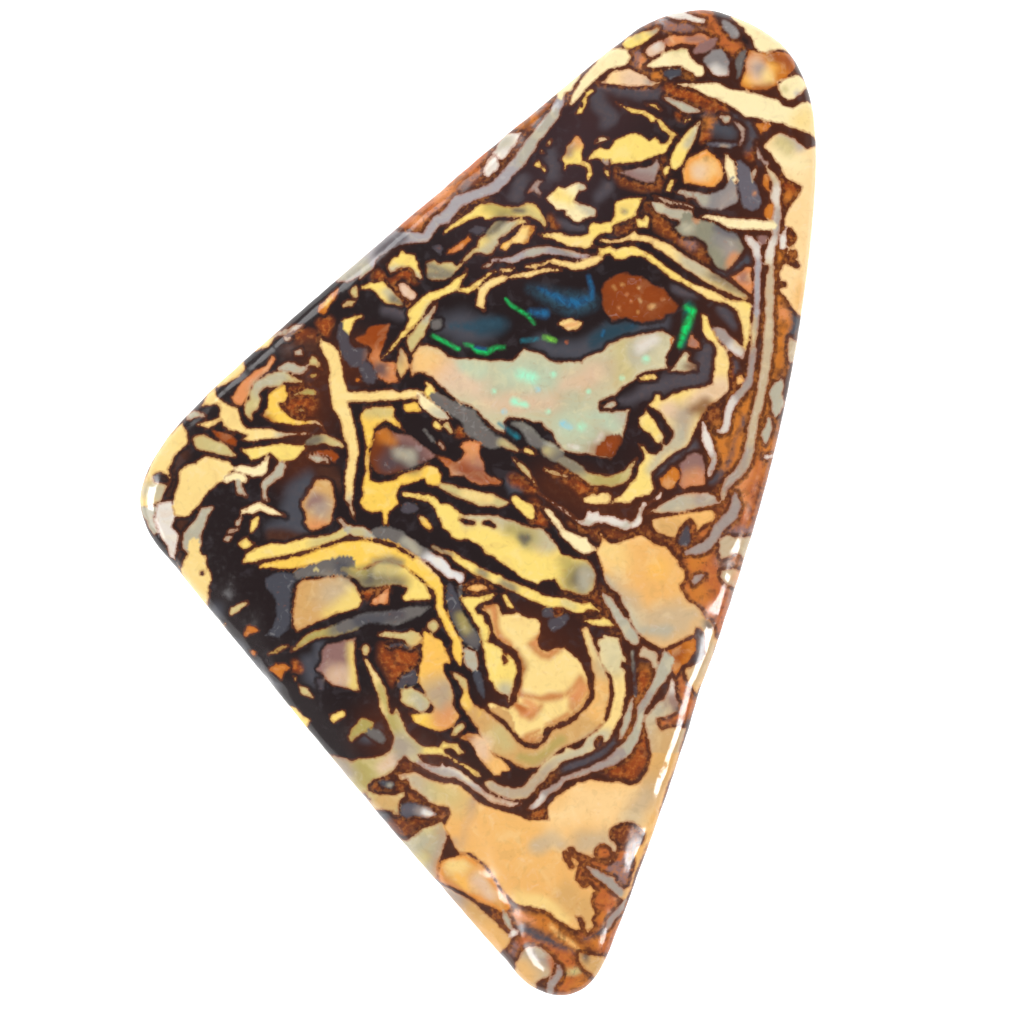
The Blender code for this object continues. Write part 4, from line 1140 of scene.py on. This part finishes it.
# %% Shader sums
class Value:
    """A node's output that works in sums; every sign adds one Math node."""

    def __init__(self, nodes, output):
        self.nodes = nodes
        self.output = output

    def __add__(self, other):
        return self.nodes.sum("ADD", self, other)

    def __radd__(self, other):
        return self.nodes.sum("ADD", other, self)

    def __sub__(self, other):
        return self.nodes.sum("SUBTRACT", self, other)

    def __rsub__(self, other):
        return self.nodes.sum("SUBTRACT", other, self)

    def __mul__(self, other):
        return self.nodes.sum("MULTIPLY", self, other)

    def __rmul__(self, other):
        return self.nodes.sum("MULTIPLY", other, self)


print("a sum knows + - and *")

# %% [markdown]
# Every other kind of node is made by one method, from its settings and what goes into its sockets.
# The few kinds that this stone needs get a short name each.

# %% Nodes by short names
class Nodes:
    """The nodes of a material or a world, and short ways to add to them."""

    def __init__(self, owner, shader, place):
        owner.use_nodes = True
        self.tree = owner.node_tree
        self.shader = self.tree.nodes[shader]
        self.place = self.node("ShaderNodeTexCoord", {}, {}, place)

    def feed(self, node, sockets):
        """Gives each named socket of a node its value, or a link where it has one."""
        for key, value in sockets.items():
            if isinstance(value, Value):
                self.tree.links.new(value.output, node.inputs[key])
            else:
                node.inputs[key].default_value = value

    def node(self, kind, settings, sockets, output=0):
        """A new node: its settings first, then its sockets; gives back one of its outputs."""
        made = self.tree.nodes.new(kind)
        for key, value in settings.items():
            setattr(made, key, value)
        self.feed(made, sockets)
        return Value(self, made.outputs[output])

    def sum(self, operation, first, second):
        return self.node("ShaderNodeMath", {"operation": operation}, {0: first, 1: second})

    def mix(self, first, second, share):
        """Two colours mixed by a share from 0 to 1."""
        sockets = {0: share, 6: first, 7: second}
        return self.node("ShaderNodeMix", {"data_type": "RGBA"}, sockets, 2)

    def step(self, value, low, high, start=0.0, end=1.0):
        """A smooth step from a start, where the value is low, to an end, where it is high."""
        sockets = {"Value": value, "From Min": low, "From Max": high, "To Min": start, "To Max": end}
        return self.node("ShaderNodeMapRange", {"interpolation_type": "SMOOTHSTEP"}, sockets)

    def cloud(self, size, detail=2.0, warp=0.0):
        """Cloudy noise round one half, with lumps of a size in millimetres."""
        sockets = {"Vector": self.place, "Scale": 1.0 / (size * MM), "Detail": detail, "Distortion": warp}
        return self.node("ShaderNodeTexNoise", {}, sockets)

    def red(self, colour):
        """How much red there is in a colour, which is how light it is among browns."""
        return self.node("ShaderNodeSeparateColor", {}, {"Color": colour}, "Red")

    def height(self):
        """The third coordinate of a place."""
        return self.node("ShaderNodeSeparateXYZ", {}, {"Vector": self.place}, "Z")

    def attribute(self, name, output):
        return self.node("ShaderNodeAttribute", {"attribute_name": name}, {}, output)


def finish_for(piece, name):
    """A new material, alone on a piece, with a Principled BSDF and its place in the object."""
    material = bpy.data.materials.new(name)
    piece.data.materials.clear()
    piece.data.materials.append(material)
    return Nodes(material, "Principled BSDF", "Object")


def plain(name):
    """A palette colour as a socket takes it."""
    return (*mixed(name), 1.0)


print("shader sums are ready")

# %% [markdown]
# The real finish is one polish over two minerals. Opal is glassy and clouded inside; ironstone takes
# a slightly duller polish and shows a fine rusty grain, with a thin dark skin along every seam. The
# depth attribute, roughened by two clouds of noise, tells where opal ends. First comes the rock: its
# own colour, the skin beside the opal, and the grain, which only rusty rock shows.

# %% The ironstone
finish = finish_for(opal, "polished_boulder_opal")
opal_colour = finish.attribute("opal", "Color")
rock_colour = finish.attribute("rock", "Color")
rim_colour = finish.attribute("rim", "Color")
ragged = (
    finish.attribute("depth", "Fac")
    + 0.28 * (finish.cloud(0.6) - 0.5)
    + 0.11 * (finish.cloud(0.2, detail=1.0) - 0.5)
)
pale = finish.step(finish.red(opal_colour), 0.18, 0.5)
blur = 0.12 - 0.095 * pale
is_opal = finish.step(ragged, 0 - blur, blur)

grain = finish.cloud(0.28, detail=3.0)
lumps = finish.cloud(0.9, detail=3.0, warp=0.5)
rusty = finish.step(finish.red(rock_colour), 0.05, 0.22)
rock = finish.mix(rock_colour, rim_colour, 0.85 * finish.step(ragged, -0.34, -0.14))
rock = finish.mix(rock, plain("ember"), 0.5 * rusty * finish.step(grain, 0.44, 0.68))
rock = finish.mix(rock, plain("black"), 0.4 * rusty * finish.step(grain, 0.42, 0.28))
rock = finish.mix(rock, rim_colour, 0.5 * rusty * finish.step(lumps, 0.5, 0.66))
rock = finish.mix(rock, plain("haze"), 0.25 * (1 - rusty) * finish.step(lumps, 0.54, 0.72))
rock = finish.mix(rock, plain("brick"), 0.42 * pale * finish.step(ragged, -0.15, -0.02))
print("nodes for the rock:", len(finish.tree.nodes))

# %% [markdown]
# Common opal is never one colour: milky clouds drift through it, a few rusty flecks lie in it, and iron has
# stained its edge. The fire goes over both minerals, broken into patches as the real play of colour is, and
# is also given a faint painted glow, an emission, because it is brighter than any paint.

# %% The opal and its fire
milk = finish.cloud(1.2, detail=5.0, warp=0.8)
flecks = finish.cloud(0.3, detail=2.0)
murk = finish.cloud(0.7, detail=4.0, warp=1.2)
stained_edge = finish.mix(rim_colour, plain("orange"), 0.45)
body_colour = finish.mix(opal_colour, plain("ivory"), 0.2 * pale * finish.step(milk, 0.52, 0.7))
body_colour = finish.mix(body_colour, plain("tan"), 0.17 * pale * finish.step(milk, 0.48, 0.3))
body_colour = finish.mix(body_colour, plain("terracotta"), 0.14 * finish.step(flecks, 0.6, 0.78))
body_colour = finish.mix(body_colour, plain("umber"), 0.08 * finish.step(murk, 0.47, 0.3))
body_colour = finish.mix(body_colour, plain("white"), 0.1 * finish.step(murk, 0.56, 0.74))
body_colour = finish.mix(body_colour, stained_edge, 0.58 * pale * finish.step(ragged, 0.15, 0.01))

fire_patches = finish.step(finish.cloud(0.5, detail=3.0, warp=1.2), 0.35, 0.62)
fire = finish.attribute("fire", "Fac") * (0.5 + 0.5 * fire_patches)
flame = finish.attribute("fire_colour", "Color")
face_colour = finish.mix(finish.mix(rock, body_colour, is_opal), flame, fire)
print("nodes with the opal:", len(finish.tree.nodes))

# %% [markdown]
# The back was only ground, so it is duller, and its seams are drawn by noise alone. Then all of it
# goes to the Principled BSDF, with the refraction of opal and a trace of waviness from the polish.

# %% The back and the polish
is_back = finish.step(finish.height(), 0.7 * MM, 0.25 * MM)
back_seams = finish.cloud(5.0, detail=4.0, warp=1.2)
back_mottle = finish.cloud(1.1, detail=4.0)
back_colour = finish.mix(plain("umber"), plain("rust"), finish.step(back_mottle, 0.38, 0.68))
in_seam = finish.step(back_seams, 0.47, 0.485) * finish.step(back_seams, 0.53, 0.515)
back_colour = finish.mix(back_colour, plain("sand"), in_seam)

polish = 0.08 + (1 - is_opal) * (0.06 + 0.1 * finish.step(grain, 0.5, 0.75))
waves = 0.3 * grain * (1 - is_opal) + 0.7 * finish.cloud(4.0, detail=1.0)
relief = {"Strength": 0.2, "Distance": 0.01 * MM, "Height": waves}
finish.feed(finish.shader, {
    "Base Color": finish.mix(face_colour, back_colour, is_back),
    "Roughness": polish + 0.35 * is_back,
    "IOR": 1.46,
    # Painted glow: the fire's colour is also emitted, faintly, though the stone is no lamp.
    "Emission Color": finish.mix(plain("none"), flame, fire),
    "Emission Strength": 0.3,
    "Normal": finish.node("ShaderNodeBump", {}, relief),
})
print("nodes in the finish:", len(finish.tree.nodes))

# %% [markdown]
# The stone lies on a plain white table. The table glows a little, as a lit sheet of acrylic does, so
# that it is pure white all round and the stone's shadow stays faint.

# %% The table
WHITE = (1.0, 1.0, 1.0, 1.0)

bpy.ops.mesh.primitive_plane_add(size=1.2)
floor = bpy.context.object
floor.name = "floor"
table = finish_for(floor, "white_table")
table.feed(table.shader, {
    "Base Color": (0.9, 0.9, 0.9, 1.0),
    "Roughness": 0.6,
    "Emission Color": WHITE,
    "Emission Strength": 0.7,
})
print("table:", floor.dimensions[:2])

# %% [markdown]
# The view is from straight above, with a long lens so that the walls stay out of sight. What the
# lens takes in is measured at the girdle, the stone's widest line.

# %% Camera
VIEW_CENTRE = Vector((2.07, -0.54, GIRDLE_HEIGHT)) * MM
VIEW_SPAN = 61.44 * MM
LENS = 100.0
SENSOR = 36.0

lens = bpy.data.cameras.new("camera")
lens.lens = LENS
lens.sensor_width = SENSOR
camera = bpy.data.objects.new("camera", lens)
camera.location = VIEW_CENTRE + Vector((0.0, 0.0, VIEW_SPAN * LENS / SENSOR))
bpy.context.scene.collection.objects.link(camera)
bpy.context.scene.camera = camera
print("camera height:", round(camera.location.z, 4))

# %% [markdown]
# A polished stone mirrors whatever is above it. What this one mirrors from all round is a pale sky
# that darkens overhead, so that its blacks stay black. A world's own place is the direction looked
# in, and the third coordinate of that is how high it points.

# %% The sky
SKY_STRENGTH = 0.55
OVERHEAD_STRENGTH = 0.12

bpy.context.scene.world = bpy.data.worlds.new("studio")
sky = Nodes(bpy.context.scene.world, "Background", "Generated")
dome = sky.step(sky.height(), 0.55, 0.9, SKY_STRENGTH, OVERHEAD_STRENGTH)
sky.feed(sky.shader, {"Color": WHITE, "Strength": dome})
bpy.context.scene.view_settings.view_transform = "Standard"
print("sky:", bpy.context.scene.world.name)

# %% [markdown]
# A lamp straight overhead would turn the blacks grey as well, so the one large box up there lights
# the colours and is kept out of the polish, as a polarising filter would do it. The low lamps do
# the reverse: they are only mirrored, on the rolled edge and at the corners.

# %% Lamps
LAMP_DISTANCE = 350.0


def soft_box(name, bearing, height, size, brightness, mirrored=True):
    """A lamp that faces the stone, at a bearing and a height in degrees, and is either seen in
    the polish or lights the colours."""
    data = bpy.data.lights.new(name, "AREA")
    data.shape = "RECTANGLE"
    data.size, data.size_y = (side * MM for side in size)
    data.energy = brightness * math.pi * data.size * data.size_y
    lamp = bpy.data.objects.new(name, data)
    turn, rise = math.radians(bearing), math.radians(height)
    level = math.cos(rise)
    towards = Vector((level * math.cos(turn), level * math.sin(turn), math.sin(rise)))
    lamp.location = towards * LAMP_DISTANCE * MM
    lamp.rotation_euler = (-towards).to_track_quat("-Z", "Y").to_euler()
    lamp.visible_glossy = mirrored
    lamp.visible_diffuse = not mirrored
    bpy.context.scene.collection.objects.link(lamp)


soft_box("overhead_box", 100.0, 84.0, (500, 500), 1.88, mirrored=False)
soft_box("left_panel", 184.0, 28.0, (240, 240), 5.0)
soft_box("left_lamp", 178.0, 36.0, (110, 170), 22.0)
soft_box("right_strip", -22.5, 36.0, (46, 160), 26.0)
soft_box("upper_panel", 130.0, 35.0, (90, 140), 5.0)
soft_box("tip_lamp", -112.0, 62.0, (34, 34), 18.0)
